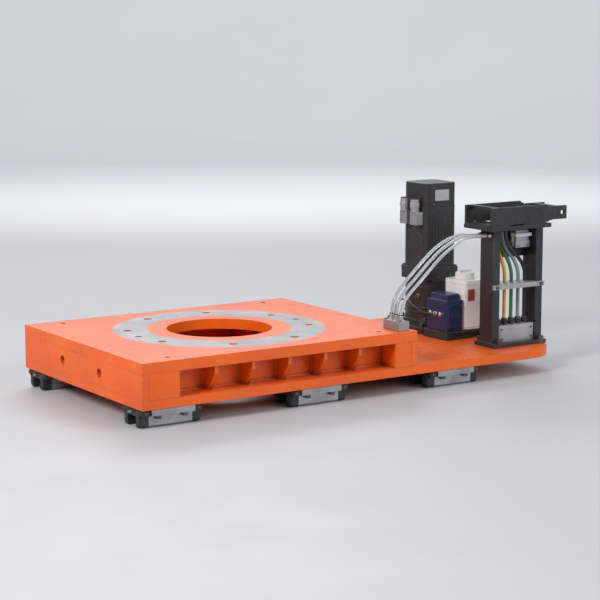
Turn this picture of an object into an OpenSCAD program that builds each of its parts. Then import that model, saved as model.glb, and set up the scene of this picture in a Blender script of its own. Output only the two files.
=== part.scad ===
// Carriage of a linear track for a large robot.
// X runs along the rails, Y across them and Z up.
// The origin is the centre of the robot seat, on the deck top.

/* [Body] */
// Length of the raised deck along the rails
deck_l = 880; // [800:10:960]
// Width of the body across the rails
body_w = 700; // [680:10:760]
// Height from the underside of the base plate to the deck top
body_h = 125; // [115:1:140]
// Thickness of the deck plate
deck_t = 30; // [24:1:36]
// Thickness of the base plate
base_t = 25; // [22:1:30]
// Length of the base plate beyond the deck
tail_l = 540; // [530:10:600]
// Corner radius of the base plate at its tail end
tail_r = 110; // [60:5:120]
// Depth of the recess along each side
recess = 70; // [50:5:80]
// Number of ribs in each side recess
ribs_per_side = 5; // [3:1:7]

/* [Robot seat] */
// Diameter of the round opening in the deck
seat_bore = 300; // [200:10:320]
// Diameter of the opening in the base plate under it
base_bore = 240; // [160:10:280]
// Pitch circle of the robot bolts
seat_pcd = 520; // [480:5:525]
// Diameter of the robot bolt holes
seat_hole = 24; // [16:1:24]
// Number of robot bolt holes
seat_holes = 8; // [6:2:12]

/* [Runner blocks] */
// Distance between the two rails' centre lines
rail_gauge = 570; // [560:5:620]
// Width of the rail that the blocks run on
rail_w = 45; // [45:1:45]
// Width of a runner block over its flanges
runner_w = 120; // [116:1:124]
// Height of a runner block
runner_h = 52; // [52:1:56]
// Length of a runner block's steel body
runner_l = 130; // [126:1:136]
// Length of an end cap with its seal
cap_l = 27; // [20:1:30]
// Spacing of the runner blocks along a rail
runner_pitch = 465; // [440:5:480]

/* [Drive] */
// Gear module of the rack and its pinion
rack_m = 5; // [5:1:5]
// Number of teeth on the pinion
pinion_z = 22; // [20:1:22]
// Number of teeth on the felt gear that greases the rack
felt_z = 14; // [12:1:15]
// Distance from the carriage's middle to the rack's pitch line
rack_y = 195; // [190:1:200]
// Gear module of the planetary stage
stage_m = 1.5; // [1.5:0.1:1.5]
// Number of teeth on the sun gear
sun_z = 18; // [18:1:18]
// Number of teeth on each planet gear
planet_z = 27; // [27:1:27]
// Outside diameter of the gearbox
gearbox_d = 150; // [146:1:160]
// Height of the gearbox housing
gearbox_h = 120; // [120:1:130]
// Side of the square servo motor
motor_w = 132; // [124:1:140]
// Height of the motor housing
motor_h = 205; // [200:5:240]

/* [Chain post] */
// Height of the energy chain post above the base plate
post_h = 365; // [350:5:380]
// Length of the post along the rails
post_l = 190; // [180:5:200]
// Height of the cable clamp bar above the deck top
clamp_z = 88; // [70:2:100]
// Inside width of the energy chain
chain_w = 110; // [104:2:120]
// Outside height of the energy chain
chain_h = 56; // [50:2:60]
// Number of supply cables
cables = 5; // [3:1:5]
// Diameter of a supply cable
cable_d = 11; // [9:1:12]
// Diameter of an air hose
hose_d = 9; // [6:1:10]

/* [Hidden] */
$fn = 48;

orange = [0.90, 0.31, 0.07];
steel = [0.62, 0.63, 0.64];
black = [0.09, 0.09, 0.10];
blue = [0.09, 0.13, 0.30];
white = [0.88, 0.88, 0.86];
yellow = [0.86, 0.63, 0.12];

gap = 0.05;             // running clearance on a radius
slack = 0.25;           // assembly clearance on a radius
wall_t = 15;            // welded webs, ribs and panels
end_t = 20;             // end plates

deck_bottom = -deck_t;
base_bottom = -body_h;
base_top = base_bottom + base_t;
deck_x = deck_l / 2;
side_y = body_w / 2;
tail_x = deck_x + tail_l;

web_y = side_y - recess;                // outer face of a side web
left_panel_l = 112;                     // flush panels at the ends of each recess
right_panel_l = 74;
recess_lo = -deck_x + left_panel_l;
recess_hi = deck_x - right_panel_l;
lift_x = 340;                           // threaded holes for lifting eyes
lift_y = 305;
dowel_d = 20;
inner_rib_x = 210;                      // cross ribs on either side of the seat opening

rail_y = rail_gauge / 2;
runner_x0 = -345;                       // middle of the first runner block on each rail
flange_t = 18;                          // a runner block's flange
waist_w = 86;                           // a runner block below its flanges
rail_top = 21.5;                        // from the top of a block to the top of its rail channel
roller_d = 8;
roller_step = 12;
rollers_per_row = 10;
roller_y = rail_w / 2 + 2;              // middle of a roller row, from the rail's middle
roller_top_z = 28;                      // middle of the upper rows, below the block's top
roller_low_z = 41;                      // middle of the lower rows
runner_bolt_x = 80;
runner_bolt_y = 100;
spot_face_d = 17;                       // seat for a screw head under a block's flange
m10 = 10;
m12 = 12;

pinion_r = rack_m * pinion_z / 2;
felt_r = rack_m * felt_z / 2;
drive_x = 855;
drive_y = rack_y - pinion_r;
felt_x = 738;
felt_y = rack_y - felt_r;
pinion_top = base_bottom - 8;
pinion_w = 36;
shaft_d = 50;
drive_bore = pinion_r * 2 + 2 * rack_m + 8;
flange_plate_t = 20;
flange_l = 216;
flange_w = 210;
drive_slots_x = 90;
drive_slots_y = 82;
slot_travel = 4;                        // how far the drive can be set towards the rack or away
gearbox_z0 = base_top + flange_plate_t;
gearbox_z1 = gearbox_z0 + gearbox_h;
adapter_h = 40;
motor_z0 = gearbox_z1 + adapter_h;
motor_z1 = motor_z0 + motor_h;
motor_cap_h = 75;
ring_z = sun_z + 2 * planet_z;
orbit_r = stage_m * (sun_z + planet_z) / 2;
ring_od = gearbox_d - 16;
stage_lo = gearbox_z0 + 60;
stage_w = 30;
carrier_d = 100;
planet_pin_d = 12;
rotor_d = 80;
rotor_shaft_d = 24;
sun_bore = 14;
bearing_w = 14;
motor_bore = rotor_d + 4;

pump_x = 750;                           // lower corner of the lubricator
pump_y = -85;
pump_w = 100;
pump_base_h = 25;
pump_l = 66;
pump_h = 112;
tank_l = 84;
tank_h = 150;

post_x = 785;                           // left side of the chain post
post_y = -230;
post_w = 60;
post_z0 = base_top + 12;
post_z1 = base_top + post_h;
upright = 26;
box_z1 = base_top + 62;                 // top of the terminal box
cable_step = 26;
cable_x0 = post_x + post_l / 2 - cable_step * (cables - 1) / 2;
chain_x0 = post_x - 35;                 // left end of the chain's end bracket
chain_l = post_l + 35;                  // from there to the pivot of the first link
chain_z0 = post_z1;
chain_t = 9;
pivot_x = chain_x0 + chain_l;
pivot_z = chain_z0 + chain_h / 2;
pivot_d = 24;
link_l = 70;
comb_x = chain_x0 + chain_l - 42;       // comb that holds the cables in the bracket
comb_t = 12;
cable_lane = 18;                        // spacing of the cables inside the chain
drop_x = post_x + upright + 8 + cable_d / 2;    // where the cables hang down from the chain
panel_x0 = drop_x + 16;                 // left edge of the post's back panel, clear of the cables
port_x0 = post_x + 103;                 // connector port with its cover and lever
port_x1 = port_x0 + 54;
port_y1 = post_y + post_w / 2 - 8;
port_y0 = port_y1 - 30;
port_z0 = 190;
port_h = 20;
cover_h = 32;
lever_y = port_y1 - 15;
lever_z = port_z0 + 10;
lever_l = 33;

hoses = 3;
manifold_x = deck_x - 34;
manifold_y = 32 - side_y;
manifold_step = 22;
manifold_h = 26;
fitting_l = 18;
hose_z = post_z1 - 30;
hose_y = post_y - 18;
hose_step = 18;

// Shape helpers

module block(lo, hi) {
    translate(lo) cube(hi - lo);
}

module upright_cylinder(x, y, z0, z1, d) {
    translate([x, y, z0]) cylinder(h = z1 - z0, d = d);
}

module each_side() {
    for (side = [-1, 1]) scale([1, side, 1]) children();
}

function polar(r, a) = [r * cos(a), r * sin(a)];
function arc(c, r, a0, a1, steps) = [for (i = [0:steps]) c + polar(r, a0 + (a1 - a0) * i / steps)];
function rounded(lo, hi, r, steps = 6) = concat(
    arc([hi[0] - r, hi[1] - r], r, 0, 90, steps), arc([lo[0] + r, hi[1] - r], r, 90, 180, steps),
    arc([lo[0] + r, lo[1] + r], r, 180, 270, steps), arc([hi[0] - r, lo[1] + r], r, 270, 360, steps));

module rounded_block(lo, hi, r) {
    translate([0, 0, lo[2]]) linear_extrude(hi[2] - lo[2])
        polygon(rounded([lo[0], lo[1]], [hi[0], hi[1]], r));
}

// Involute gears with a 20 degree pressure angle

flank_steps = 5;

function roll(r, rb) = let (a = acos(min(1, rb / r))) tan(a) * 180 / PI - a;

function gear_outline(m, z, root, tip, thin) = let (
    rp = m * z / 2,
    rb = rp * cos(20),
    low = max(rb, root),
    half = 90 / z + roll(rp, rb) - thin / rp * 90 / PI,
    radii = [for (i = [0:flank_steps]) low + (tip - low) * i / flank_steps])
    [for (t = [0:z - 1]) let (c = 360 * t / z) each concat(
        root < rb ? [polar(root, c - half)] : [],
        [for (r = radii) polar(r, c - half + roll(r, rb))],
        [for (i = [flank_steps:-1:0]) polar(radii[i], c + half - roll(radii[i], rb))],
        root < rb ? [polar(root, c + half)] : [])];

module gear(m, z, w, bore, thin = 0.12) {
    r = m * z / 2;
    difference() {
        linear_extrude(w) polygon(gear_outline(m, z, r - 1.25 * m, r + m, thin));
        translate([0, 0, -1]) cylinder(h = w + 2, d = bore);
    }
}

// Round tubes swept along a smooth route

tube_sides = 8;

function curve_point(a, b, c, d, t) =
    0.5 * (2 * b + (c - a) * t + (2 * a - 5 * b + 4 * c - d) * t ^ 2 + (3 * b - a - 3 * c + d) * t ^ 3);

function smooth(route, steps) = let (n = len(route) - 1)
    [for (i = [0:n - 1], k = [0:i == n - 1 ? steps : steps - 1])
        curve_point(route[max(0, i - 1)], route[i], route[i + 1], route[min(n, i + 2)], k / steps)];

function unit(v) = v / norm(v);
function tangent(p, i) = unit(p[min(len(p) - 1, i + 1)] - p[max(0, i - 1)]);
function side_of(t, hint) = unit(cross(t, hint));

module tube(route, d, hint, steps = 3) {
    path = smooth(route, steps);
    n = len(path);
    points = [for (i = [0:n - 1], s = [0:tube_sides - 1]) let (
        t = tangent(path, i),
        u = side_of(t, hint),
        v = cross(t, u),
        a = 360 * s / tube_sides) path[i] + d / 2 * (u * cos(a) + v * sin(a))];
    walls = [for (i = [0:n - 2], s = [0:tube_sides - 1]) let (e = (s + 1) % tube_sides)
        [i * tube_sides + s, (i + 1) * tube_sides + s, (i + 1) * tube_sides + e, i * tube_sides + e]];
    first = [for (s = [0:tube_sides - 1]) s];
    last = [for (s = [tube_sides - 1:-1:0]) (n - 1) * tube_sides + s];
    polyhedron(points, concat(walls, [first, last]));
}

module cap_screw(at, d, length, down = true) {
    translate(at) scale([1, 1, down ? 1 : -1]) difference() {
        union() {
            translate([0, 0, -length]) cylinder(h = length + 1, d = d);
            cylinder(h = d, d = 1.6 * d);
        }
        translate([0, 0, d / 2]) cylinder(h = d, d = 0.95 * d, $fn = 6);
    }
}

// Where things repeat

function runner_at(i) = [runner_x0 + runner_pitch * (i % 3), i < 3 ? -rail_y : rail_y];

module at_runner_bolts(i) {
    for (dx = [-1, 1], dy = [-1, 1])
        translate([runner_at(i)[0] + dx * runner_bolt_x / 2, runner_at(i)[1] + dy * runner_bolt_y / 2, 0])
            children();
}

module at_drive_bolts(r, turn = 45) {
    for (a = [turn:90:turn + 270]) translate([drive_x + r * cos(a), drive_y + r * sin(a), 0]) children();
}

module at_drive_slots() {
    for (dx = [-1, 1], dy = [-1, 1])
        translate([drive_x + dx * drive_slots_x, drive_y + dy * drive_slots_y, 0]) children();
}

module at_post_bolts() {
    for (x = [post_x + 16, post_x + post_l - 16], dy = [-1, 1])
        translate([x, post_y + dy * (post_w / 2 + 15), 0]) children();
}

module at_tail_bolts() {
    at_drive_slots() children();
    at_post_bolts() children();
}

module at_planets() {
    for (a = [0:120:240]) translate([orbit_r * cos(a), orbit_r * sin(a), 0]) children();
}

// Body

module base_plate() {
    color(orange) difference() {
        translate([0, 0, base_bottom]) linear_extrude(base_t) difference() {
            polygon(concat(
                [[-deck_x, side_y], [-deck_x, -side_y]],
                arc([tail_x - tail_r, tail_r - side_y], tail_r, -90, 0, 12),
                arc([tail_x - tail_r, side_y - tail_r], tail_r, 0, 90, 12)));
            translate([drive_x, drive_y]) circle(d = drive_bore);
            circle(d = base_bore);
            translate([felt_x, felt_y]) circle(d = 14);
        }
        for (i = [0:5]) at_runner_bolts(i)
            translate([0, 0, base_bottom - 1]) cylinder(h = 21, d = m10 + 2 * gap);
        at_tail_bolts() translate([0, 0, base_top - 18]) cylinder(h = 20, d = m12 + 2 * gap);
    }
}

module deck_plate() {
    color(orange) difference() {
        block([-deck_x, -side_y, deck_bottom], [deck_x, side_y, 0]);
        translate([0, 0, deck_bottom - 1]) cylinder(h = deck_t + 2, d = seat_bore, $fn = 96);
        for (i = [0:seat_holes - 1]) rotate(360 * (i + 0.5) / seat_holes)
            translate([seat_pcd / 2, 0, deck_bottom - 1]) cylinder(h = deck_t + 2, d = seat_hole);
        for (x = [-1, 1]) translate([x * seat_pcd / 2, 0, deck_bottom - 1])
            cylinder(h = deck_t + 2, d = dowel_d);
        for (x = [-1, 1], y = [-1, 1])
            translate([x * lift_x, y * lift_y, deck_bottom - 1]) cylinder(h = deck_t + 2, d = 16);
    }
}

module side_webs() {
    color(orange) each_side()
        block([recess_lo, web_y - wall_t, base_top], [recess_hi, web_y, deck_bottom]);
}

module end_plate_left() {
    color(orange) difference() {
        block([-deck_x, -side_y, base_top], [end_t - deck_x, side_y, deck_bottom]);
        for (y = [-1, 1]) translate([-deck_x - 1, 110 * y, (base_top + deck_bottom) / 2]) rotate([0, 90, 0])
            cylinder(h = end_t + 2, d = 26);
    }
}

module end_plate_right() {
    color(orange) difference() {
        block([deck_x - end_t, -side_y, base_top], [deck_x, side_y, deck_bottom]);
        block([deck_x - end_t - 1, -60, base_top + 14], [deck_x + 1, 60, deck_bottom - 12]);
    }
}

module corner_panel(x0, x1, inner_x) {
    block([x0, side_y - wall_t, base_top], [x1, side_y, deck_bottom]);
    block([inner_x, web_y - wall_t, base_top], [inner_x + wall_t, side_y - wall_t, deck_bottom]);
}

module corner_panels() {
    color(orange) each_side() {
        corner_panel(-deck_x + end_t, recess_lo, recess_lo - wall_t);
        corner_panel(recess_hi, deck_x - end_t, recess_hi);
    }
}

module side_ribs() {
    step = (recess_hi - recess_lo) / (ribs_per_side + 1);
    color(orange) each_side() for (i = [1:ribs_per_side])
        translate([recess_lo + i * step + 6, 0, 0]) rotate([0, -90, 0]) linear_extrude(12)
            polygon([[base_top, web_y], [base_top, web_y + 26], [deck_bottom - 22, side_y - 8],
                [deck_bottom, side_y - 8], [deck_bottom, web_y]]);
}

module inner_ribs() {
    y = web_y - wall_t;
    color(orange) for (x = [-inner_rib_x, inner_rib_x]) difference() {
        block([x - wall_t / 2, -y, base_top], [x + wall_t / 2, y, deck_bottom]);
        for (dy = [-130, 0, 130]) translate([x - wall_t, dy, (base_top + deck_bottom) / 2])
            rotate([0, 90, 0]) cylinder(h = 2 * wall_t, d = 44);
    }
}

// Runner blocks

// Half of a rail channel, from the block's underside up to its roof
function channel(wide) = [[rail_w / 2 - 3 + wide, 1 - runner_h * 2], [rail_w / 2 - 3 + wide, -46],
    [rail_w / 2 + wide, -43], [rail_w / 2 + wide, -rail_top - 4], [rail_w / 2 - 4 + wide, -rail_top + wide]];

function mirrored(points) = [for (i = [len(points) - 1:-1:0]) [-points[i][0], points[i][1]]];
function both(points) = concat(points, mirrored(points));

module along_rail(x, length) {
    translate([x + length, 0, base_bottom]) rotate([90, 0, 0]) rotate([0, -90, 0])
        linear_extrude(length) children();
}

module runner_body(i) {
    at = runner_at(i);
    color(steel) translate([at[0], at[1], 0]) difference() {
        along_rail(-runner_l / 2, runner_l) difference() {
            polygon(both([[waist_w / 2 - 6, -runner_h], [waist_w / 2, 6 - runner_h],
                [waist_w / 2, -flange_t - 3],
                [waist_w / 2 + 3, -flange_t], [runner_w / 2, -flange_t], [runner_w / 2, -2],
                [runner_w / 2 - 2, 0]]));
            polygon(both(channel(0.5)));
            for (s = [-1, 1], z = [roller_top_z, roller_low_z]) translate([s * roller_y, -z]) rotate(45)
                square(roller_d + 0.6, center = true);
            for (s = [-1, 1], z = [roller_top_z, roller_low_z]) translate([s * (roller_y + 11), -z])
                circle(d = roller_d + 1);
        }
        for (dx = [-1, 1], dy = [-1, 1])
            translate([dx * runner_bolt_x / 2, dy * runner_bolt_y / 2, base_bottom - flange_t - 1])
                cylinder(h = flange_t + 2, d = m10 + 2 * slack);
        for (dx = [-1, 1], dy = [-1, 1])
            translate([dx * runner_bolt_x / 2, dy * runner_bolt_y / 2, base_bottom - flange_t - 12])
                cylinder(h = 12, d = spot_face_d);
    }
}

module cap_outline(inset, wide) {
    difference() {
        polygon(both([[waist_w / 2 - 6 - inset, 1 - runner_h + inset],
            [waist_w / 2 - inset, 7 - runner_h + inset], [waist_w / 2 - inset, -flange_t + inset - 3],
            [runner_w / 2 - 4 - inset, -flange_t + inset], [runner_w / 2 - 4 - inset, -5 - inset],
            [runner_w / 2 - 8 - inset, -1 - inset]]));
        polygon(both(channel(wide)));
    }
}

module runner_caps(i) {
    at = runner_at(i);
    cover = cap_l - 4;
    color(black) for (s = [-1, 1]) translate([at[0], at[1], 0]) scale([s, 1, 1]) {
        along_rail(runner_l / 2, cover) cap_outline(0, 1.5);
        along_rail(runner_l / 2 + cover, 4) cap_outline(3, 0.4);
    }
}

module runner_rollers() {
    start = -roller_step * (rollers_per_row - 1) / 2;
    color(steel) for (i = [0:5], k = [0:rollers_per_row - 1], s = [-1, 1], z = [roller_top_z, roller_low_z])
        translate([runner_at(i)[0] + start + k * roller_step, runner_at(i)[1] + s * roller_y,
            base_bottom - z])
            rotate([z == roller_top_z ? s * 45 : -s * 45, 0, 0])
                cylinder(h = roller_d, d = roller_d, center = true);
}

module runner_screws() {
    color(steel) for (i = [0:5]) at_runner_bolts(i)
        cap_screw([0, 0, base_bottom - flange_t], m10, flange_t + 18, down = false);
}

module grease_nipples() {
    x = runner_l / 2 + cap_l;
    color(steel) for (i = [0:5]) translate([runner_at(i)[0] - x, runner_at(i)[1], base_bottom - 11])
        rotate([0, -90, 0]) {
            cylinder(h = 5, d = 9, $fn = 6);
            translate([0, 0, 5]) cylinder(h = 6, d1 = 7, d2 = 4);
        }
}

// Drive

module drive_flange() {
    color(black) difference() {
        rounded_block([drive_x - flange_l / 2, drive_y - flange_w / 2, base_top],
            [drive_x + flange_l / 2, drive_y + flange_w / 2, gearbox_z0], 14);
        upright_cylinder(drive_x, drive_y, base_top - 1, gearbox_z0 + 1, 104);
        at_drive_slots() translate([0, 0, base_top - 1]) linear_extrude(flange_plate_t + 2)
            polygon(rounded([-6.6, -7 - slot_travel], [6.6, 7 + slot_travel], 6.5));
        at_drive_bolts(gearbox_d / 2 + 12) translate([0, 0, gearbox_z0 - 15])
            cylinder(h = 16, d = m10 + 2 * gap);
    }
}

module gearbox_housing() {
    foot_r = gearbox_d / 2 + 22;
    color(black) difference() {
        union() {
            translate([drive_x, drive_y, gearbox_z0]) cylinder(h = gearbox_h, d = gearbox_d, $fn = 72);
            intersection() {
                translate([drive_x, drive_y, gearbox_z0]) cylinder(h = 14, r = foot_r, $fn = 72);
                rounded_block([drive_x - 80, drive_y - 80, gearbox_z0 - 1],
                    [drive_x + 80, drive_y + 80, gearbox_z0 + 15], 6);
            }
            for (z = [34, 48]) translate([drive_x, drive_y, gearbox_z0 + z])
                cylinder(h = 5, d = gearbox_d + 6, $fn = 72);
        }
        upright_cylinder(drive_x, drive_y, gearbox_z0 - 1, gearbox_z0 + 6, 62);
        upright_cylinder(drive_x, drive_y, gearbox_z0 + 5, gearbox_z0 + 41, 90 + 2 * gap);
        upright_cylinder(drive_x, drive_y, gearbox_z0 + 40, gearbox_z1 + 1, ring_od + 2 * gap);
        at_drive_bolts(gearbox_d / 2 + 12) translate([0, 0, gearbox_z0 - 1])
            cylinder(h = 17, d = m10 + 2 * slack);
    }
}

module ring_gear() {
    color(steel) translate([drive_x, drive_y, stage_lo]) difference() {
        cylinder(h = stage_w + 10, d = ring_od, $fn = 72);
        translate([0, 0, -1]) linear_extrude(stage_w + 12)
            polygon(gear_outline(stage_m, ring_z, stage_m * (ring_z / 2 - 1),
                stage_m * (ring_z / 2 + 1.25), -0.12));
    }
}

module planet_carrier() {
    disc_lo = stage_lo - 18;
    disc_hi = stage_lo + stage_w + 2;
    color(steel) translate([drive_x, drive_y, 0]) {
        difference() {
            union() {
                translate([0, 0, pinion_top - pinion_w + 2])
                    cylinder(h = disc_lo - pinion_top + pinion_w, d = shaft_d);
                translate([0, 0, disc_lo]) cylinder(h = 15, d = carrier_d);
                translate([0, 0, disc_hi]) cylinder(h = 8, d = carrier_d);
                at_planets() translate([0, 0, disc_lo]) cylinder(h = disc_hi + 8 - disc_lo, d = planet_pin_d);
            }
            translate([0, 0, disc_hi - 1]) cylinder(h = 10, d = 36);
            translate([0, 0, pinion_top - pinion_w]) cylinder(h = 32, d = 16 + 2 * gap);
        }
    }
}

module planet_gear(i) {
    a = 120 * (i - 1);
    color(steel) translate([drive_x, drive_y, stage_lo + 1]) rotate(a) translate([orbit_r, 0, 0])
        rotate(180 + 180 / planet_z) gear(stage_m, planet_z, stage_w - 2, planet_pin_d + 2 * gap);
}

module sun_gear() {
    color(steel) translate([drive_x, drive_y, stage_lo + 1])
        gear(stage_m, sun_z, stage_w - 2, sun_bore + 0.02);
}

module bearing(z, inner, outer) {
    translate([drive_x, drive_y, z]) difference() {
        cylinder(h = bearing_w, d = outer);
        translate([0, 0, -1]) cylinder(h = bearing_w + 2, d = inner + 2 * gap);
    }
}

module drive_bearings() {
    color(steel) {
        bearing(gearbox_z0 + 7, shaft_d, 90);
        bearing(gearbox_z0 + 7 + bearing_w + 3, shaft_d, 90);
        bearing(motor_z0 + 3, rotor_shaft_d, 52);
        bearing(motor_z1 - 3 - bearing_w, rotor_shaft_d, 52);
    }
}

module motor_adapter() {
    z = gearbox_z1;
    color(black) difference() {
        union() {
            upright_cylinder(drive_x, drive_y, z, z + 18, gearbox_d);
            rounded_block([drive_x - motor_w / 2, drive_y - motor_w / 2, z + 18],
                [drive_x + motor_w / 2, drive_y + motor_w / 2, motor_z0], 12);
        }
        upright_cylinder(drive_x, drive_y, z - 1, motor_z0 + 1, 60);
    }
}

module motor_body() {
    half = motor_w / 2;
    color(black) difference() {
        union() {
            rounded_block([drive_x - half, drive_y - half, motor_z0],
                [drive_x + half, drive_y + half, motor_z0 + 16], 10);
            rounded_block([drive_x - half + 5, drive_y - half + 5, motor_z0 + 16],
                [drive_x + half - 5, drive_y + half - 5, motor_z1], 22);
        }
        for (side = [-1, 1], k = [-3:3]) {
            translate([drive_x + side * (half - 4), drive_y + 12 * k, motor_z0 + 30])
                translate([-3, -2, 0]) cube([6, 4, motor_h - 50]);
            translate([drive_x + 12 * k, drive_y + side * (half - 4), motor_z0 + 30])
                translate([-2, -3, 0]) cube([4, 6, motor_h - 50]);
        }
        upright_cylinder(drive_x, drive_y, motor_z0 - 1, motor_z1 + 1, 30);
        upright_cylinder(drive_x, drive_y, motor_z0 - 1, motor_z0 + 3 + bearing_w, 52 + 2 * gap);
        upright_cylinder(drive_x, drive_y, motor_z0 + 24, motor_z1 - 24, motor_bore);
        upright_cylinder(drive_x, drive_y, motor_z1 - 3 - bearing_w, motor_z1 + 1, 52 + 2 * gap);
    }
}

module motor_rotor() {
    color(steel) {
        upright_cylinder(drive_x, drive_y, stage_lo + 1, stage_lo + stage_w + 12, sun_bore);
        upright_cylinder(drive_x, drive_y, stage_lo + stage_w + 12, motor_z1 + 26, rotor_shaft_d);
        upright_cylinder(drive_x, drive_y, motor_z0 + 34, motor_z1 - 34, rotor_d);
    }
}

module motor_cap() {
    half = motor_w / 2 - 6;
    color(black) difference() {
        rounded_block([drive_x - half, drive_y - half, motor_z1], [drive_x + half, drive_y + half,
            motor_z1 + motor_cap_h], 20);
        upright_cylinder(drive_x, drive_y, motor_z1 - 1, motor_z1 + motor_cap_h - 12, 88);
    }
}

module motor_connectors() {
    x = drive_x - motor_w / 2 + 5;
    color(steel) for (dy = [-26, 26]) {
        block([x - 24, drive_y + dy - 18, motor_z1 - 54], [x, drive_y + dy + 18, motor_z1 - 14]);
        upright_cylinder(x - 12 - 6, drive_y + dy, motor_z1 - 14, motor_z1 + 26, 28);
    }
}

module pinion() {
    color(steel) translate([drive_x, drive_y, pinion_top - pinion_w]) rotate(90)
        gear(rack_m, pinion_z, pinion_w, shaft_d + 0.02);
}

module pinion_retainer() {
    z = pinion_top - pinion_w;
    color(steel) translate([drive_x, drive_y, 0]) difference() {
        union() {
            translate([0, 0, z - 5]) cylinder(h = 5, d = 66);
            translate([0, 0, z - 1]) cylinder(h = 28, d = 16);
        }
        translate([0, 0, z - 6]) cylinder(h = 12, d = 12, $fn = 6);
    }
}

module gearbox_screws() {
    color(steel) at_drive_bolts(gearbox_d / 2 + 12) cap_screw([0, 0, gearbox_z0 + 14], m10, 26);
}

// Rack greasing

felt_top = base_bottom - 12;
felt_w = 30;

module felt_gear() {
    color([0.75, 0.70, 0.35]) translate([felt_x, felt_y, felt_top - felt_w]) rotate(90)
        gear(rack_m, felt_z, felt_w, 16 + 2 * gap);
}

module felt_gear_bracket() {
    color(steel) difference() {
        union() {
            rounded_block([felt_x - 32, felt_y - 32, base_bottom - 10],
                [felt_x + 32, felt_y + 32, base_bottom], 8);
            upright_cylinder(felt_x, felt_y, felt_top - felt_w - 4, base_bottom - 5, 16);
            upright_cylinder(felt_x, felt_y, felt_top - felt_w - 5, felt_top - felt_w - 1, 28);
        }
        upright_cylinder(felt_x, felt_y, base_bottom - 26, base_bottom + 1, 6);
    }
}

feed_route = [[felt_x, felt_y, base_bottom - 8], [felt_x, felt_y, -75], [felt_x, felt_y, -44],
    [felt_x - 5, felt_y - 18, -12], [felt_x - 14, 105, 4], [felt_x - 20, 60, 2], [felt_x - 25, 36, -5],
    [felt_x - 27, 12, -11], [felt_x - 26, -10, -17], [pump_x - 30, pump_y + 58, -22],
    [pump_x - 13, pump_y + 50, -24], [pump_x - slack, pump_y + 50, -24]];

module felt_feed_tube() {
    color(black) tube(feed_route, 6, [1, 0.02, 0.3]);
}

module lube_base() {
    color(black) difference() {
        rounded_block([pump_x - 8, pump_y - 8, base_top],
            [pump_x + pump_l + tank_l + 8, pump_y + pump_w + 8, base_top + pump_base_h], 8);
        block([pump_x + 20, pump_y - 9, base_top + 5],
            [pump_x + pump_l + tank_l - 20, pump_y, base_top + 18]);
    }
}

module lube_pump() {
    z = base_top + pump_base_h;
    color(blue) {
        rounded_block([pump_x, pump_y, z], [pump_x + pump_l, pump_y + pump_w, z + pump_h - 18], 8);
        rounded_block([pump_x + 8, pump_y + 10, z + pump_h - 18], [pump_x + pump_l - 8, pump_y + pump_w - 10,
            z + pump_h], 6);
    }
}

module lube_reservoir() {
    x = pump_x + pump_l;
    z = base_top + pump_base_h;
    color(white) difference() {
        rounded_block([x, pump_y, z], [x + tank_l, pump_y + pump_w, z + tank_h], 14);
        rounded_block([x + 4, pump_y + 4, z + 5], [x + tank_l - 4, pump_y + pump_w - 4, z + tank_h - 6], 10);
        upright_cylinder(x + tank_l / 2, pump_y + pump_w / 2, z + tank_h - 7, z + tank_h + 1, 40.8);
    }
}

module lube_lid() {
    x = pump_x + pump_l + tank_l / 2;
    y = pump_y + pump_w / 2;
    z = base_top + pump_base_h + tank_h;
    color(white) {
        upright_cylinder(x, y, z - 5, z + 1, 40);
        upright_cylinder(x, y, z + 0.3, z + 20, 58);
        block([x - 24, y - 5, z + 20], [x + 24, y + 5, z + 28]);
    }
}

// Chain post

module chain_post() {
    x1 = post_x + post_l;
    y0 = post_y - post_w / 2;
    y1 = post_y + post_w / 2;
    color(black) difference() {
        union() {
            block([post_x - 4, post_y - 48, base_top], [x1 + 4, post_y + 48, post_z0]);
            block([post_x, y0, base_top], [post_x + upright, y1, post_z1]);
            block([x1 - upright, y0, base_top], [x1, y1, post_z1]);
            block([chain_x0, post_y - chain_w / 2 - 12, post_z1 - 12],
                [x1, post_y + chain_w / 2 + 12, post_z1]);
            block([panel_x0, y1 - 8, port_z0 - 30], [x1, y1, post_z1]);
        }
        block([post_x + upright, post_y - chain_w / 2, post_z1 - 13],
            [post_x + upright + 62, post_y + chain_w / 2, post_z1 + 1]);
        at_post_bolts() translate([0, 0, base_top - 1]) cylinder(h = 14, d = m12 + 2 * slack);
    }
}

module terminal_box() {
    x0 = post_x + upright + 2;
    x1 = post_x + post_l - upright - 2;
    color(steel) difference() {
        block([x0, post_y - 26, post_z0], [x1, post_y + 26, box_z1]);
        for (i = [0:cables - 1])
            upright_cylinder(cable_x0 + i * cable_step, post_y, box_z1 - 12, box_z1 + 1, cable_d + 0.6);
    }
}

module cable_glands() {
    color(black) for (i = [0:cables - 1])
    translate([cable_x0 + i * cable_step, post_y, box_z1]) difference() {
        union() {
            cylinder(h = 9, d = 23, $fn = 6);
            translate([0, 0, 9]) cylinder(h = 10, d1 = 20, d2 = 16);
        }
        translate([0, 0, -1]) cylinder(h = 22, d = cable_d + 0.6);
    }
}

module clamp_bar() {
    x0 = post_x + upright + 1;
    x1 = post_x + post_l - upright - 1;
    color(steel) difference() {
        union() {
            block([x0, post_y - 22, clamp_z - 14], [x1, post_y + 22, clamp_z]);
            block([post_x - 2, post_y - post_w / 2 - 8, clamp_z - 14],
                [post_x + post_l + 2, post_y - post_w / 2, clamp_z]);
            block([x0, post_y - post_w / 2 - 1, clamp_z - 14], [x1, post_y - 21, clamp_z]);
        }
        for (i = [0:cables - 1])
            upright_cylinder(cable_x0 + i * cable_step, post_y, clamp_z - 15, clamp_z + 1, cable_d + 0.6);
    }
}

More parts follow.
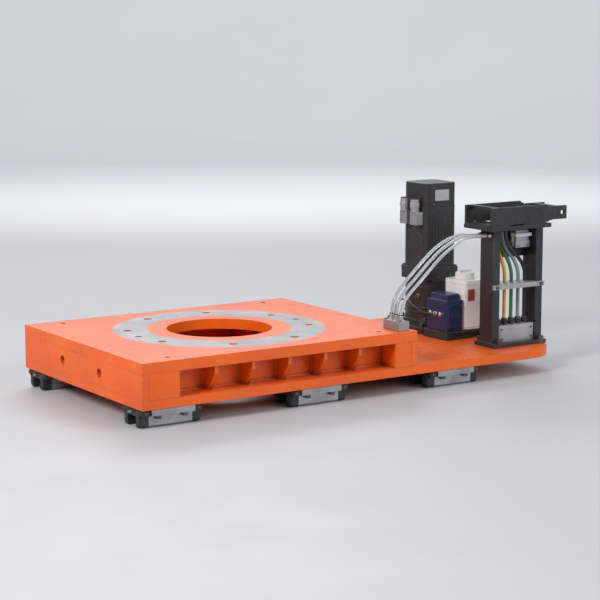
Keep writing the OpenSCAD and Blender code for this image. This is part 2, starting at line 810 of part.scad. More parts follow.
// One cable's route: along the energy chain, down through the post's top, and across in an S bend
// to its own hole in the clamp bar and its gland
function s_bend(t) = t < 0.5 ? 2 * t * t : 1 - 2 * (1 - t) * (1 - t);
function cable_route(i) = let (
    x = cable_x0 + i * cable_step,
    lane = ((cables - 1) / 2 - i) * cable_lane,
    y = post_y + lane,
    r = 4 * cable_d,
    top = pivot_z - 2,
    hi = top - r - 2,
    lo = clamp_z + 14)
    concat(
        [[comb_x + comb_t - 4, y, top], [comb_x - 20, y, top], [drop_x + r + 18, y, top]],
        [for (a = [90:-22.5:0]) [drop_x + r * (1 - cos(a)), y, top - r * (1 - sin(a))]],
        [for (k = [1:8]) let (s = s_bend(k / 8))
            [drop_x + s * (x - drop_x), post_y + (1 - s) * lane, hi + (lo - hi) * k / 8]],
        [[x, post_y, clamp_z - 4], [x, post_y, clamp_z - 24], [x, post_y, box_z1 + 60],
            [x, post_y, box_z1 - 10]]);

module supply_cables() {
    for (i = [0:cables - 1]) color(i % 2 == 0 ? yellow : black) tube(cable_route(i), cable_d, [0, 1, 0.01]);
}

module chain_side(x0, x1, y0, y1) {
    block([x0, y0, chain_z0 + 4], [x1, y1, chain_z0 + chain_h]);
}

module chain_end_bracket() {
    y0 = post_y - chain_w / 2;
    y1 = post_y + chain_w / 2;
    color(black) difference() {
        union() {
            block([chain_x0, y0 - chain_t, chain_z0], [drop_x - 9, y1 + chain_t, chain_z0 + 5]);
            block([drop_x + 46, y0 - chain_t, chain_z0], [pivot_x - 20, y1 + chain_t, chain_z0 + 5]);
            block([comb_x, y0 - 1, chain_z0 + 4], [comb_x + comb_t, y1 + 1, chain_z0 + chain_h - 12]);
            for (y = [[y0 - chain_t, y0], [y1, y1 + chain_t]]) {
                chain_side(chain_x0, pivot_x - 16, y[0], y[1]);
                translate([pivot_x - 17, y[0], pivot_z]) rotate([-90, 0, 0])
                    cylinder(h = chain_t, d = chain_h - 8);
            }
            block([chain_x0 + 14, y0 - 1, chain_z0 + chain_h - 6],
                [chain_x0 + 32, y1 + 1, chain_z0 + chain_h]);
            for (y = [y0 - chain_t, y1]) translate([pivot_x, y, pivot_z]) rotate([-90, 0, 0])
                cylinder(h = chain_t, d = pivot_d + 16);
        }
        translate([pivot_x, y0 - chain_t - 1, pivot_z]) rotate([-90, 0, 0])
            cylinder(h = chain_w + 2 * chain_t + 2, d = 14 + 2 * gap);
        for (i = [0:cables - 1]) translate([comb_x - 1, cable_route(i)[0][1], pivot_z - 2]) rotate([0, 90, 0])
            cylinder(h = comb_t - 2, d = cable_d + 0.6);
    }
}

module chain_link() {
    y0 = post_y - chain_w / 2 + 0.4;
    y1 = post_y + chain_w / 2 - 0.4;
    color(black) {
        difference() {
            for (y = [y0, y1 - chain_t]) {
                translate([pivot_x, y, pivot_z]) rotate([-90, 0, 0]) cylinder(h = chain_t, d = chain_h - 14);
                block([pivot_x + 6, y, pivot_z - 20], [pivot_x + link_l, y + chain_t, pivot_z + 20]);
            }
            translate([pivot_x + link_l - 16, y0 - 1, pivot_z]) rotate([-90, 0, 0])
                cylinder(h = chain_w + 2, d = 14);
        }
        for (y = [y0 - chain_t, y1]) translate([pivot_x, y - 0.3, pivot_z]) rotate([-90, 0, 0])
            cylinder(h = chain_t + 0.6, d = 14);
        for (z = [pivot_z - 20, pivot_z + 14])
            block([pivot_x + 22, y0 + 1, z], [pivot_x + 40, y1 - 1, z + 6]);
    }
}

module connector_base() {
    color(steel) difference() {
        union() {
            block([port_x0, port_y0, port_z0], [port_x1, port_y1, port_z0 + port_h]);
            for (x = [port_x0 - 4, port_x1]) translate([x, lever_y, lever_z]) rotate([0, 90, 0])
                cylinder(h = 4, d = 7);
        }
        block([port_x0 + 6, port_y0 + 5, port_z0 + 8], [port_x1 - 6, port_y1 - 5, port_z0 + port_h + 1]);
    }
}

module connector_cover() {
    z = port_z0 + port_h;
    color(steel) {
        rounded_block([port_x0 + 1, port_y0 + 1, z], [port_x1 - 1, port_y1 - 1, z + cover_h], 5);
        block([port_x0 + 6.5, port_y0 + 5.5, z - 8], [port_x1 - 6.5, port_y1 - 5.5, z + 1]);
    }
}

// The lever's two arms turn on the port's pegs, and its bar crosses in front of the cover
module connector_lever() {
    bar_z = lever_z + lever_l;
    color(white) difference() {
        union() {
            for (x = [port_x0 - 3.5, port_x1 + 0.5]) {
                translate([x, lever_y, lever_z]) rotate([0, 90, 0]) cylinder(h = 3, d = 14);
                block([x, lever_y - 5, lever_z + 2], [x + 3, lever_y + 5, bar_z]);
                block([x, port_y0 - 4, bar_z - 10], [x + 3, lever_y, bar_z]);
            }
            block([port_x0 - 3.5, port_y0 - 5, bar_z - 10], [port_x1 + 3.5, port_y0 - 1, bar_z]);
        }
        translate([port_x0 - 5, lever_y, lever_z]) rotate([0, 90, 0])
            cylinder(h = port_x1 - port_x0 + 10, d = 7 + 2 * gap);
    }
}

// Air hoses

function hose_route(k) = let (
    y = hose_y + k * hose_step,
    low_y = manifold_y + k * manifold_step,
    x = post_x - fitting_l - slack,
    bow = 7 * k)
    [[x, y, hose_z], [x - 16, y, hose_z], [x - 42, y, hose_z + 1],
     [x - 82, (7 * y + low_y) / 8, hose_z + bow / 3],
     [632, (5 * y + 3 * low_y) / 8, 221 + bow * 0.8], [574, (3 * y + 5 * low_y) / 8, 198 + bow],
     [520, (y + 7 * low_y) / 8, 168 + bow], [474, low_y, 134 + bow], [440, low_y, 105 + bow * 0.8],
     [418, low_y, 81 + bow / 2], [manifold_x + 3, low_y, 62 + bow / 6],
     [manifold_x, low_y, manifold_h + fitting_l + slack]];

module air_hoses() {
    color(white) for (k = [0:hoses - 1]) tube(hose_route(k), hose_d, [0.01, 1, 0]);
}

module fitting() {
    cylinder(h = 7, d = 17, $fn = 6);
    translate([0, 0, 7]) cylinder(h = fitting_l - 7, d = 14);
}

module hose_fittings() {
    last = (hoses - 1) * manifold_step;
    color(steel) {
        block([manifold_x - 18, manifold_y - 16, 0], [manifold_x + 18, manifold_y + last + 16, manifold_h]);
        for (k = [0:hoses - 1]) {
            translate([manifold_x, manifold_y + k * manifold_step, manifold_h]) fitting();
            translate([post_x, hose_y + k * hose_step, hose_z]) rotate([0, -90, 0]) fitting();
        }
    }
}

module tail_screws() {
    color(steel) {
        at_post_bolts() cap_screw([0, 0, post_z0], m12, 12 + 16);
        at_drive_slots() cap_screw([0, 0, gearbox_z0], m12, flange_plate_t + 16);
    }
}

base_plate();
deck_plate();
side_webs();
end_plate_left();
end_plate_right();
corner_panels();
side_ribs();
inner_ribs();
for (i = [1:6]) {
    runner_body(i - 1);
    runner_caps(i - 1);
}
runner_rollers();
runner_screws();
grease_nipples();
drive_flange();
gearbox_housing();
ring_gear();
motor_adapter();
planet_carrier();
for (i = [1:3]) planet_gear(i);
sun_gear();
drive_bearings();
motor_body();
motor_rotor();
motor_cap();
motor_connectors();
pinion();
pinion_retainer();
gearbox_screws();
felt_gear();
felt_gear_bracket();
felt_feed_tube();
lube_base();
lube_pump();
lube_reservoir();
lube_lid();
chain_post();
chain_end_bracket();
chain_link();
clamp_bar();
supply_cables();
terminal_box();
cable_glands();
connector_base();
connector_cover();
connector_lever();
air_hoses();
hose_fittings();
tail_screws();
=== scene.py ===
import math
import random

import bmesh
import bpy
from mathutils import Matrix, Vector


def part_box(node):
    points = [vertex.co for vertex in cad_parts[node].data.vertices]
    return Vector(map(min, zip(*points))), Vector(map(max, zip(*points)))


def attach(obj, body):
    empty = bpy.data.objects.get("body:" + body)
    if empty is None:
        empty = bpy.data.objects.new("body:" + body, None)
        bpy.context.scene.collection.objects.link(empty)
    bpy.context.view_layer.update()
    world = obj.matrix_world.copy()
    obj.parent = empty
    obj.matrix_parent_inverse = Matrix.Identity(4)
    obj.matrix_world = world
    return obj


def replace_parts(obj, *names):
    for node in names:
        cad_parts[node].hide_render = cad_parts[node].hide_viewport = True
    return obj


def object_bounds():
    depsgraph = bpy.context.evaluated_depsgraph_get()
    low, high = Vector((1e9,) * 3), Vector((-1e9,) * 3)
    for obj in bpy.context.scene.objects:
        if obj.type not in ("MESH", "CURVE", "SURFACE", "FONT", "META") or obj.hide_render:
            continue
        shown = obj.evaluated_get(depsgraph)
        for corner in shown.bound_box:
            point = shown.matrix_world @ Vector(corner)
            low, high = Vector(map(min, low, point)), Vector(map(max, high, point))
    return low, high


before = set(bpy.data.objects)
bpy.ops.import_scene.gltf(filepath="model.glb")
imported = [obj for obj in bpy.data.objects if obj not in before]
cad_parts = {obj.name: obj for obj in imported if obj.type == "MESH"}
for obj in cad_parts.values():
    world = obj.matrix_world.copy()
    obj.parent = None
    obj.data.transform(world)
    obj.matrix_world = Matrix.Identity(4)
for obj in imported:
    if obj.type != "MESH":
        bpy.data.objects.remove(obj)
CAD_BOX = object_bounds()

# The looks of a robot track's carriage. Everything is in metres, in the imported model's own frame:
# X runs along the rails, Y across them, Z up, and the origin is the centre of the robot seat on the deck top.

MM = 0.001
X_AXIS = Vector((1, 0, 0))
Y_AXIS = Vector((0, 1, 0))
Z_AXIS = Vector((0, 0, 1))
RUNNERS = range(1, 7)


# ---------------------------------------------------------------- materials

class Nodes:
    """Short calls that build the node tree of one material. Textures use object coordinates, in metres."""

    def __init__(self, name):
        self.material = bpy.data.materials.new(name)
        self.material.use_nodes = True
        self.tree = self.material.node_tree
        self.shader = self.tree.nodes["Principled BSDF"]
        self.place = self.add("ShaderNodeTexCoord").outputs["Object"]

    def add(self, kind, **settings):
        node = self.tree.nodes.new(kind)
        for key, value in settings.items():
            setattr(node, key, value)
        return node

    def join(self, source, target):
        self.tree.links.new(source, target)

    def put(self, value, socket):
        if isinstance(value, bpy.types.NodeSocket):
            self.join(value, socket)
        else:
            socket.default_value = value

    def stretch(self, scale):
        node = self.add("ShaderNodeMapping")
        self.join(self.place, node.inputs["Vector"])
        node.inputs["Scale"].default_value = scale
        return node.outputs["Vector"]

    def noise(self, scale, detail=4.0, roughness=0.55, place=None):
        node = self.add("ShaderNodeTexNoise")
        self.join(place or self.place, node.inputs["Vector"])
        node.inputs["Scale"].default_value = scale
        node.inputs["Detail"].default_value = detail
        node.inputs["Roughness"].default_value = roughness
        return node.outputs["Fac"]

    def cells(self, scale):
        node = self.add("ShaderNodeTexVoronoi")
        self.join(self.place, node.inputs["Vector"])
        node.inputs["Scale"].default_value = scale
        return node.outputs["Distance"]

    def remap(self, value, low, high, to_low=0.0, to_high=1.0):
        node = self.add("ShaderNodeMapRange")
        self.join(value, node.inputs["Value"])
        node.inputs["From Min"].default_value = low
        node.inputs["From Max"].default_value = high
        node.inputs["To Min"].default_value = to_low
        node.inputs["To Max"].default_value = to_high
        return node.outputs["Result"]

    def maths(self, operation, a, b):
        node = self.add("ShaderNodeMath", operation=operation)
        self.put(a, node.inputs[0])
        self.put(b, node.inputs[1])
        return node.outputs[0]

    def mix(self, factor, a, b):
        node = self.add("ShaderNodeMix", data_type="RGBA")
        self.put(factor, node.inputs["Factor"])
        self.put(a, node.inputs["A"])
        self.put(b, node.inputs["B"])
        return node.outputs["Result"]

    def edges(self, radius, low=0.004, high=0.05):
        """1 in chips along sharp edges, 0 on flat ground."""
        bevel = self.add("ShaderNodeBevel", samples=6)
        bevel.inputs["Radius"].default_value = radius
        ground = self.add("ShaderNodeNewGeometry")
        dot = self.add("ShaderNodeVectorMath", operation="DOT_PRODUCT")
        self.join(bevel.outputs["Normal"], dot.inputs[0])
        self.join(ground.outputs["Normal"], dot.inputs[1])
        bend = self.maths("SUBTRACT", 1.0, dot.outputs["Value"])
        worn = self.remap(bend, low, high)
        places = self.remap(self.noise(9.0, 4.0), 0.42, 0.60)
        flakes = self.remap(self.noise(140.0, 5.0, 0.7), 0.50, 0.58)
        return self.maths("MULTIPLY", worn, self.maths("MULTIPLY", places, flakes))

    def corners(self, reach):
        """1 in tight inside corners, 0 in the open."""
        shade = self.add("ShaderNodeAmbientOcclusion", samples=6)
        shade.inputs["Distance"].default_value = reach
        return self.remap(shade.outputs["AO"], 0.35, 0.85, 1.0, 0.0)

    def upward(self):
        """1 on surfaces that face up, 0 on upright ones."""
        ground = self.add("ShaderNodeNewGeometry")
        split = self.add("ShaderNodeSeparateXYZ")
        self.join(ground.outputs["Normal"], split.inputs["Vector"])
        return self.remap(split.outputs["Z"], 0.5, 0.95)

    def scratches(self):
        """Thin crossing lines, kept to a few rubbed places."""
        lines = self.add("ShaderNodeTexVoronoi", feature="DISTANCE_TO_EDGE")
        bent = self.stretch((9.0, 2.5, 14.0))
        self.join(bent, lines.inputs["Vector"])
        lines.inputs["Scale"].default_value = 1.3
        thin = self.remap(lines.outputs["Distance"], 0.0, 0.006, 1.0, 0.0)
        return self.maths("MULTIPLY", thin, self.remap(self.noise(6.0, 3.0), 0.56, 0.64))

    def relief(self, height, distance, strength=1.0):
        node = self.add("ShaderNodeBump")
        node.inputs["Strength"].default_value = strength
        node.inputs["Distance"].default_value = distance
        self.join(height, node.inputs["Height"])
        self.join(node.outputs["Normal"], self.shader.inputs["Normal"])

    def set(self, socket, value):
        self.put(value, self.shader.inputs[socket])


def colour(r, g, b):
    """A linear colour with full alpha."""
    return (r, g, b, 1.0)


def mottled(n, dark, light, scale, roughness):
    """Colour and roughness that drift slowly over the surface."""
    drift = n.remap(n.noise(scale, 5.0), 0.3, 0.7)
    n.set("Base Color", n.mix(drift, dark, light))
    n.set("Roughness", n.remap(n.noise(scale * 6.0, 4.0), 0.3, 0.7, roughness[0], roughness[1]))
    return drift


def paint_coat(n, dark, light, bare, wear, dust_amount):
    """Colour of sprayed paint: slow drift, dirt and painted shade in corners, dust on top, scratches and
    chipped edges.
    """
    drift = n.remap(n.noise(4.0, 5.0), 0.3, 0.7)
    coat = n.mix(drift, dark, light)
    # Painted shade and grime: an ambient occlusion mask, broken up by noise, darkens the paint to dark brown
    # in inside corners.
    grime_and_shade = n.maths("MULTIPLY", n.corners(0.02), n.remap(n.noise(20.0, 6.0), 0.3, 0.65, 0.25, 0.75))
    coat = n.mix(grime_and_shade, coat, colour(0.045, 0.030, 0.022))
    settled = n.remap(n.noise(12.0, 8.0, 0.7), 0.46, 0.78, 0.0, dust_amount)
    dust = n.maths("MULTIPLY", settled, n.upward())
    coat = n.mix(dust, coat, colour(0.40, 0.36, 0.32))
    coat = n.mix(n.maths("MULTIPLY", n.scratches(), 0.35), coat, bare)
    return n.mix(n.maths("MULTIPLY", n.edges(0.007), wear), coat, bare), dust


def painted(name, dark, light, bare, peel, roughness, wear, dust_amount=0.25):
    """Sprayed paint with orange peel. peel scales the peel's depth, wear the chipping of edges."""
    n = Nodes(name)
    coat, dust = paint_coat(n, dark, light, bare, wear, dust_amount)
    n.set("Base Color", coat)
    smooth = n.remap(n.noise(30.0, 4.0), 0.3, 0.7, roughness[0], roughness[1])
    n.set("Roughness", n.maths("ADD", smooth, n.maths("MULTIPLY", dust, 0.9)))
    n.relief(n.noise(260.0, 3.0), 0.0006 * peel, 0.35)
    return n.material


ORANGE_DARK = colour(0.70, 0.088, 0.001)
ORANGE_LIGHT = colour(0.86, 0.135, 0.002)
ORANGE_BARE = colour(0.115, 0.085, 0.070)
ORANGE_DUST = 0.15
SEAT_INNER = 0.205          # radii of the bare steel ring on the deck
SEAT_OUTER = 0.300


def orange_paint():
    """The carriage's orange, for every plate but the deck."""
    return painted("orange_paint", ORANGE_DARK, ORANGE_LIGHT, ORANGE_BARE, 1.0, (0.30, 0.44), 0.8,
                   ORANGE_DUST)


def deck_paint():
    """The body's orange, with a turned bare steel ring where the robot's base sits."""
    n = Nodes("deck_paint")
    coat, dust = paint_coat(n, ORANGE_DARK, ORANGE_LIGHT, ORANGE_BARE, 0.8, ORANGE_DUST)
    split = n.add("ShaderNodeSeparateXYZ")
    n.join(n.place, split.inputs["Vector"])
    flat = n.add("ShaderNodeCombineXYZ")
    n.join(split.outputs["X"], flat.inputs["X"])
    n.join(split.outputs["Y"], flat.inputs["Y"])
    length = n.add("ShaderNodeVectorMath", operation="LENGTH")
    n.join(flat.outputs["Vector"], length.inputs[0])
    radius = length.outputs["Value"]
    inside = n.remap(radius, SEAT_OUTER - 0.0004, SEAT_OUTER, 1.0, 0.0)
    outside = n.remap(radius, SEAT_INNER, SEAT_INNER + 0.0004, 0.0, 1.0)
    top = n.remap(split.outputs["Z"], -0.0006, -0.0003, 0.0, 1.0)
    bare = n.maths("MULTIPLY", n.maths("MULTIPLY", inside, outside), top)
    rings = n.add("ShaderNodeTexNoise", noise_dimensions="1D")
    n.join(radius, rings.inputs["W"])
    rings.inputs["Scale"].default_value = 900.0
    rings.inputs["Detail"].default_value = 2.0
    steel = n.mix(n.remap(n.noise(9.0, 6.0), 0.35, 0.7), colour(0.25, 0.25, 0.26), colour(0.37, 0.365, 0.36))
    n.set("Base Color", n.mix(bare, coat, steel))
    n.set("Metallic", bare)
    gloss = n.maths("ADD", n.remap(n.noise(30.0), 0.3, 0.7, 0.34, 0.46), n.maths("MULTIPLY", dust, 0.9))
    n.set("Roughness", n.mix(bare, gloss, n.remap(rings.outputs["Fac"], 0.3, 0.7, 0.40, 0.56)))
    peel = n.maths("MULTIPLY", n.noise(260.0, 3.0), n.maths("SUBTRACT", 1.0, bare))
    turned = n.maths("MULTIPLY", rings.outputs["Fac"], n.maths("MULTIPLY", bare, 0.5))
    n.relief(n.maths("ADD", peel, turned), 0.0006, 0.35)
    return n.material


def black_paint():
    """The black of the post and the drive."""
    return painted("black_paint", colour(0.012, 0.012, 0.014), colour(0.022, 0.022, 0.024),
                   colour(0.16, 0.16, 0.16), 1.4, (0.34, 0.5), 0.6)


def blue_paint():
    """The dark blue of the lubricator's pump."""
    return painted("blue_paint", colour(0.006, 0.010, 0.055), colour(0.012, 0.020, 0.085),
                   colour(0.15, 0.15, 0.17), 0.8, (0.25, 0.38), 0.5)


def brushed(name, dark, light, lines, roughness, spread):
    """Machined steel with fine lines along one axis and a thin uneven film of oil."""
    n = Nodes(name)
    streak = n.noise(40.0, 6.0, 0.6, n.stretch(lines))
    film = n.remap(n.noise(16.0, 6.0), 0.35, 0.7)
    n.set("Base Color", n.mix(film, dark, light))
    n.set("Metallic", 1.0)
    fine = n.remap(streak, 0.3, 0.7, roughness, roughness + spread)
    n.set("Roughness", n.maths("ADD", fine, n.maths("MULTIPLY", film, 0.08)))
    n.relief(streak, 0.0002, 0.3)
    return n.material


def cast_metal(name, dark, light, roughness):
    """Die-cast or sand-cast metal: fine grain with rubbed edges."""
    n = Nodes(name)
    mottled(n, dark, light, 18.0, roughness)
    n.set("Metallic", 0.75)
    grain = n.maths("ADD", n.noise(420.0, 3.0), n.maths("MULTIPLY", n.noise(90.0, 4.0), 0.8))
    n.relief(grain, 0.0003, 0.35)
    return n.material


def plastic(name, dark, light, roughness):
    """Moulded plastic with a fine eroded grain and slightly polished edges."""
    n = Nodes(name)
    drift = n.remap(n.noise(12.0, 5.0), 0.3, 0.7)
    base = n.mix(drift, dark, light)
    rubbed = n.edges(0.0012, 0.01, 0.12)
    n.set("Base Color", n.mix(n.maths("MULTIPLY", rubbed, 0.35), base, colour(0.30, 0.30, 0.30)))
    n.set("Roughness", n.remap(n.noise(60.0), 0.3, 0.7, roughness[0], roughness[1]))
    n.relief(n.cells(600.0), 0.00015, 0.4)
    return n.material


def white_plastic():
    """The reservoir's milky white, which lets a little light in."""
    n = Nodes("white_plastic")
    mottled(n, colour(0.66, 0.66, 0.64), colour(0.80, 0.80, 0.78), 9.0, (0.26, 0.40))
    n.shader.inputs["Subsurface Weight"].default_value = 0.25
    n.shader.inputs["Subsurface Radius"].default_value = (0.006, 0.006, 0.006)
    n.relief(n.noise(180.0), 0.0003, 0.25)
    return n.material


def jacket(name, dark, light):
    """A smooth extruded cable jacket with faint waviness and handling marks."""
    n = Nodes(name)
    mottled(n, dark, light, 25.0, (0.32, 0.5))
    n.relief(n.noise(70.0, 4.0), 0.0006, 0.35)
    return n.material


def clear_hose():
    """Clear hose that has gone a little cloudy."""
    n = Nodes("clear_hose")
    mottled(n, colour(0.62, 0.66, 0.68), colour(0.80, 0.83, 0.84), 30.0, (0.10, 0.22))
    n.shader.inputs["Transmission Weight"].default_value = 0.65
    n.shader.inputs["IOR"].default_value = 1.45
    n.relief(n.noise(90.0), 0.0003, 0.2)
    return n.material


def felt():
    """Grease-soaked felt: a matted fibre nap with darker, glossier soaked patches."""
    n = Nodes("felt")
    soak = n.remap(n.noise(35.0, 6.0), 0.4, 0.62)
    n.set("Base Color", n.mix(soak, colour(0.42, 0.33, 0.12), colour(0.17, 0.11, 0.035)))
    n.set("Roughness", n.remap(soak, 0.0, 1.0, 0.95, 0.5))
    n.shader.inputs["Sheen Weight"].default_value = 0.35
    fibres = n.noise(900.0, 6.0, 0.8, n.stretch((1.0, 1.0, 0.4)))
    n.relief(fibres, 0.0012, 0.8)
    return n.material


def weld_paint():
    """Paint over a weld bead: darker in the ripples, from the painted shade and grime that the corner mask
    lays into them.
    """
    return painted("weld_paint", ORANGE_DARK, ORANGE_LIGHT, ORANGE_BARE, 2.2, (0.3, 0.46), 0.3)


MATERIALS = {
    "orange": orange_paint(),
    "deck": deck_paint(),
    "weld": weld_paint(),
    "black": black_paint(),
    "blue": blue_paint(),
    "runner": brushed("runner_steel", colour(0.30, 0.30, 0.31), colour(0.46, 0.46, 0.47), (0.05, 1.0, 1.0),
                      0.22, 0.14),
    "gear": brushed("gear_steel", colour(0.34, 0.34, 0.35), colour(0.50, 0.49, 0.48), (1.0, 1.0, 0.08),
                    0.20, 0.16),
    "bolt": brushed("bolt_steel", colour(0.10, 0.10, 0.105), colour(0.20, 0.20, 0.20), (1.0, 1.0, 0.2),
                    0.30, 0.18),
    "zinc": brushed("zinc_plate", colour(0.42, 0.42, 0.40), colour(0.60, 0.60, 0.57), (1.0, 1.0, 0.3),
                    0.24, 0.16),
    "cast": cast_metal("grey_casting", colour(0.30, 0.31, 0.32), colour(0.42, 0.43, 0.44), (0.38, 0.55)),
    "plastic": plastic("black_plastic", colour(0.014, 0.014, 0.015), colour(0.026, 0.026, 0.027),
                       (0.42, 0.60)),
    "white": white_plastic(),
    "felt": felt(),
    "hose": clear_hose(),
    "seal": plastic("seal_rubber", colour(0.010, 0.010, 0.010), colour(0.02, 0.018, 0.017), (0.55, 0.75)),
    "red": plastic("red_plastic", colour(0.30, 0.035, 0.02), colour(0.38, 0.05, 0.03), (0.32, 0.45)),
    "plate": brushed("blank_plate", colour(0.48, 0.48, 0.47), colour(0.60, 0.60, 0.58), (0.1, 1.0, 1.0),
                     0.26, 0.1),
    "yellow": jacket("yellow_jacket", colour(0.72, 0.36, 0.02), colour(0.80, 0.45, 0.04)),
    "orange_cable": jacket("orange_jacket", colour(0.70, 0.16, 0.015), colour(0.80, 0.21, 0.02)),
    "green": jacket("green_jacket", colour(0.03, 0.16, 0.06), colour(0.05, 0.22, 0.09)),
    "grey_cable": jacket("grey_jacket", colour(0.20, 0.21, 0.21), colour(0.28, 0.29, 0.29)),
    "black_cable": jacket("black_jacket", colour(0.012, 0.012, 0.012), colour(0.022, 0.022, 0.022)),
}


# ---------------------------------------------------------------- CAD nodes

BEVEL_ANGLE = 32.0
SPLIT_ANGLE = 50.0


def dress(node, material, bevel):
    """Gives a CAD node its material and softens its edges."""
    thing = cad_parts[node]
    thing.data.materials.clear()
    thing.data.materials.append(MATERIALS[material])
    weld = thing.modifiers.new("weld", "WELD")
    weld.merge_threshold = 1e-6
    flat = thing.modifiers.new("flat", "DECIMATE")
    flat.decimate_type = "DISSOLVE"
    flat.angle_limit = math.radians(0.3)
    if bevel:
        soft = thing.modifiers.new("bevel", "BEVEL")
        soft.width = bevel
        soft.segments = 2
        soft.limit_method = "ANGLE"
        soft.angle_limit = math.radians(BEVEL_ANGLE)
        soft.use_clamp_overlap = True
    smooth_by_angle(thing, SPLIT_ANGLE if bevel else BEVEL_ANGLE)


def smooth_by_angle(thing, angle):
    """Smooth shading with sharp edges kept, and flat faces shaded flat."""
    thing.data.shade_smooth()
    edges = thing.modifiers.new("split", "EDGE_SPLIT")
    edges.split_angle = math.radians(angle)
    normals = thing.modifiers.new("normals", "WEIGHTED_NORMAL")
    normals.keep_sharp = True


DRESSING = {
    "base_plate": ("orange", 1.2), "deck_plate": ("deck", 1.5), "side_webs": ("orange", 0.8),
    "end_plate_left": ("orange", 1.2), "end_plate_right": ("orange", 1.2), "corner_panels": ("orange", 1.0),
    "side_ribs": ("orange", 1.0), "inner_ribs": ("orange", 0.8), "runner_rollers": ("gear", 0.4),
    "runner_screws": ("bolt", 0.5), "grease_nipples": ("zinc", 0.3), "drive_flange": ("black", 1.2),
    "gearbox_housing": ("black", 1.2), "ring_gear": ("gear", 0.0), "motor_adapter": ("black", 1.5),
    "planet_carrier": ("gear", 0.5), "planet_gear_1": ("gear", 0.0), "planet_gear_2": ("gear", 0.0),
    "planet_gear_3": ("gear", 0.0), "sun_gear": ("gear", 0.0), "drive_bearings": ("gear", 0.5),
    "motor_body": ("black", 1.0), "motor_rotor": ("gear", 0.5), "motor_cap": ("black", 2.5),
    "motor_connectors": ("cast", 1.2), "pinion": ("gear", 0.35), "pinion_retainer": ("bolt", 0.6),
    "gearbox_screws": ("bolt", 0.5), "felt_gear": ("felt", 1.0), "felt_gear_bracket": ("zinc", 0.6),
    "lube_base": ("plastic", 1.5), "lube_pump": ("blue", 2.0), "lube_reservoir": ("white", 2.0),
    "lube_lid": ("white", 1.5), "chain_post": ("black", 1.0), "chain_end_bracket": ("plastic", 1.0),
    "chain_link": ("plastic", 1.0), "clamp_bar": ("cast", 0.8), "terminal_box": ("cast", 1.5),
    "connector_base": ("cast", 0.8), "connector_cover": ("cast", 1.5), "connector_lever": ("white", 0.6),
    "tail_screws": ("bolt", 0.6),
}

for node_name, (material_name, bevel_mm) in DRESSING.items():
    dress(node_name, material_name, bevel_mm * MM)
for number in RUNNERS:
    dress(f"runner_body_{number}", "runner", 0.8 * MM)
    dress(f"runner_caps_{number}", "plastic", 1.0 * MM)


# ---------------------------------------------------------------- mesh tools

def piece(name, mesh, body, material, smooth=35.0):
    """Turns a bmesh into a named piece that rides on a body."""
    data = bpy.data.meshes.new(name)
    bmesh.ops.recalc_face_normals(mesh, faces=mesh.faces)
    mesh.to_mesh(data)
    mesh.free()
    thing = bpy.data.objects.new(name, data)
    bpy.context.scene.collection.objects.link(thing)
    data.materials.append(MATERIALS[material])
    if smooth:
        smooth_by_angle(thing, smooth)
    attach(thing, body)
    return thing


def frame_of(direction):
    """A matrix that turns local Z to the direction."""
    z = direction.normalized()
    guess = X_AXIS if abs(z.x) < 0.9 else Y_AXIS
    x = (guess - z * guess.dot(z)).normalized()
    y = z.cross(x)
    return Matrix((x, y, z)).transposed()


def sweep(mesh, rings):
    """Skins a list of rings, each a list of points, and caps the ends."""
    loops = [[mesh.verts.new(p) for p in ring] for ring in rings]
    count = len(loops[0])
    for a, b in zip(loops, loops[1:]):
        for k in range(count):
            mesh.faces.new((a[k], a[(k + 1) % count], b[(k + 1) % count], b[k]))
    mesh.faces.new(list(reversed(loops[0])))
    mesh.faces.new(loops[-1])


def lathe(mesh, origin, direction, profile, sides):
    """Turns a profile of (radius, distance along the direction) round an axis through the origin."""
    turn = frame_of(direction)
    rings = []
    for radius, along in profile:
        ring = []
        for k in range(sides):
            a = 2 * math.pi * k / sides
            ring.append(origin + turn @ Vector((radius * math.cos(a), radius * math.sin(a), along)))
        rings.append(ring)
    sweep(mesh, rings)


def box(mesh, low, high, bevel=0.0, segments=2):
    """A box between two corners, with rounded edges if asked."""
    low = Vector(low)
    size = Vector(high) - low
    made = bmesh.ops.create_cube(mesh, size=1.0)["verts"]
    for v in made:
        v.co = low + Vector([(v.co[axis] + 0.5) * size[axis] for axis in range(3)])
    if bevel:
        edges = list({e for v in made for e in v.link_edges})
        bmesh.ops.bevel(mesh, geom=edges, offset=bevel, segments=segments, profile=0.5, affect="EDGES",
                        clamp_overlap=True)


def spline(route, steps):
    """Points on a smooth curve through the route's points."""
    points = []
    last = len(route) - 1
    for i in range(last):
        a, b, c, d = (route[max(0, i - 1)], route[i], route[i + 1], route[min(last, i + 2)])
        for k in range(steps + (i == last - 1)):
            t = k / steps
            points.append(0.5 * (2 * b + (c - a) * t + (2 * a - 5 * b + 4 * c - d) * t ** 2
                                 + (3 * b - a - 3 * c + d) * t ** 3))
    return points


def tube(mesh, path, radius, sides, radius_at=None):
    """A round tube along a path. radius_at(i) changes the radius along it."""
    rings = []
    up = frame_of(path[1] - path[0]) @ X_AXIS
    for i, point in enumerate(path):
        along = (path[min(i + 1, len(path) - 1)] - path[max(i - 1, 0)]).normalized()
        up = (up - along * up.dot(along)).normalized()
        side = along.cross(up)
        r = radius_at(i) if radius_at else radius
        rings.append([point + r * (up * math.cos(a) + side * math.sin(a))
                      for a in (2 * math.pi * k / sides for k in range(sides))])
    sweep(mesh, rings)


def hex_head(mesh, origin, direction, across, height):
    """A hexagon head with a chamfered top, on a washer."""
    corner = across / math.sqrt(3)
    base = height * 0.22
    lathe(mesh, origin, direction, [(corner * 1.18, 0), (corner * 1.18, base)], 24)
    lathe(mesh, origin, direction,
          [(corner, base), (corner, base + height * 0.85), (corner * 0.88, base + height)], 6)


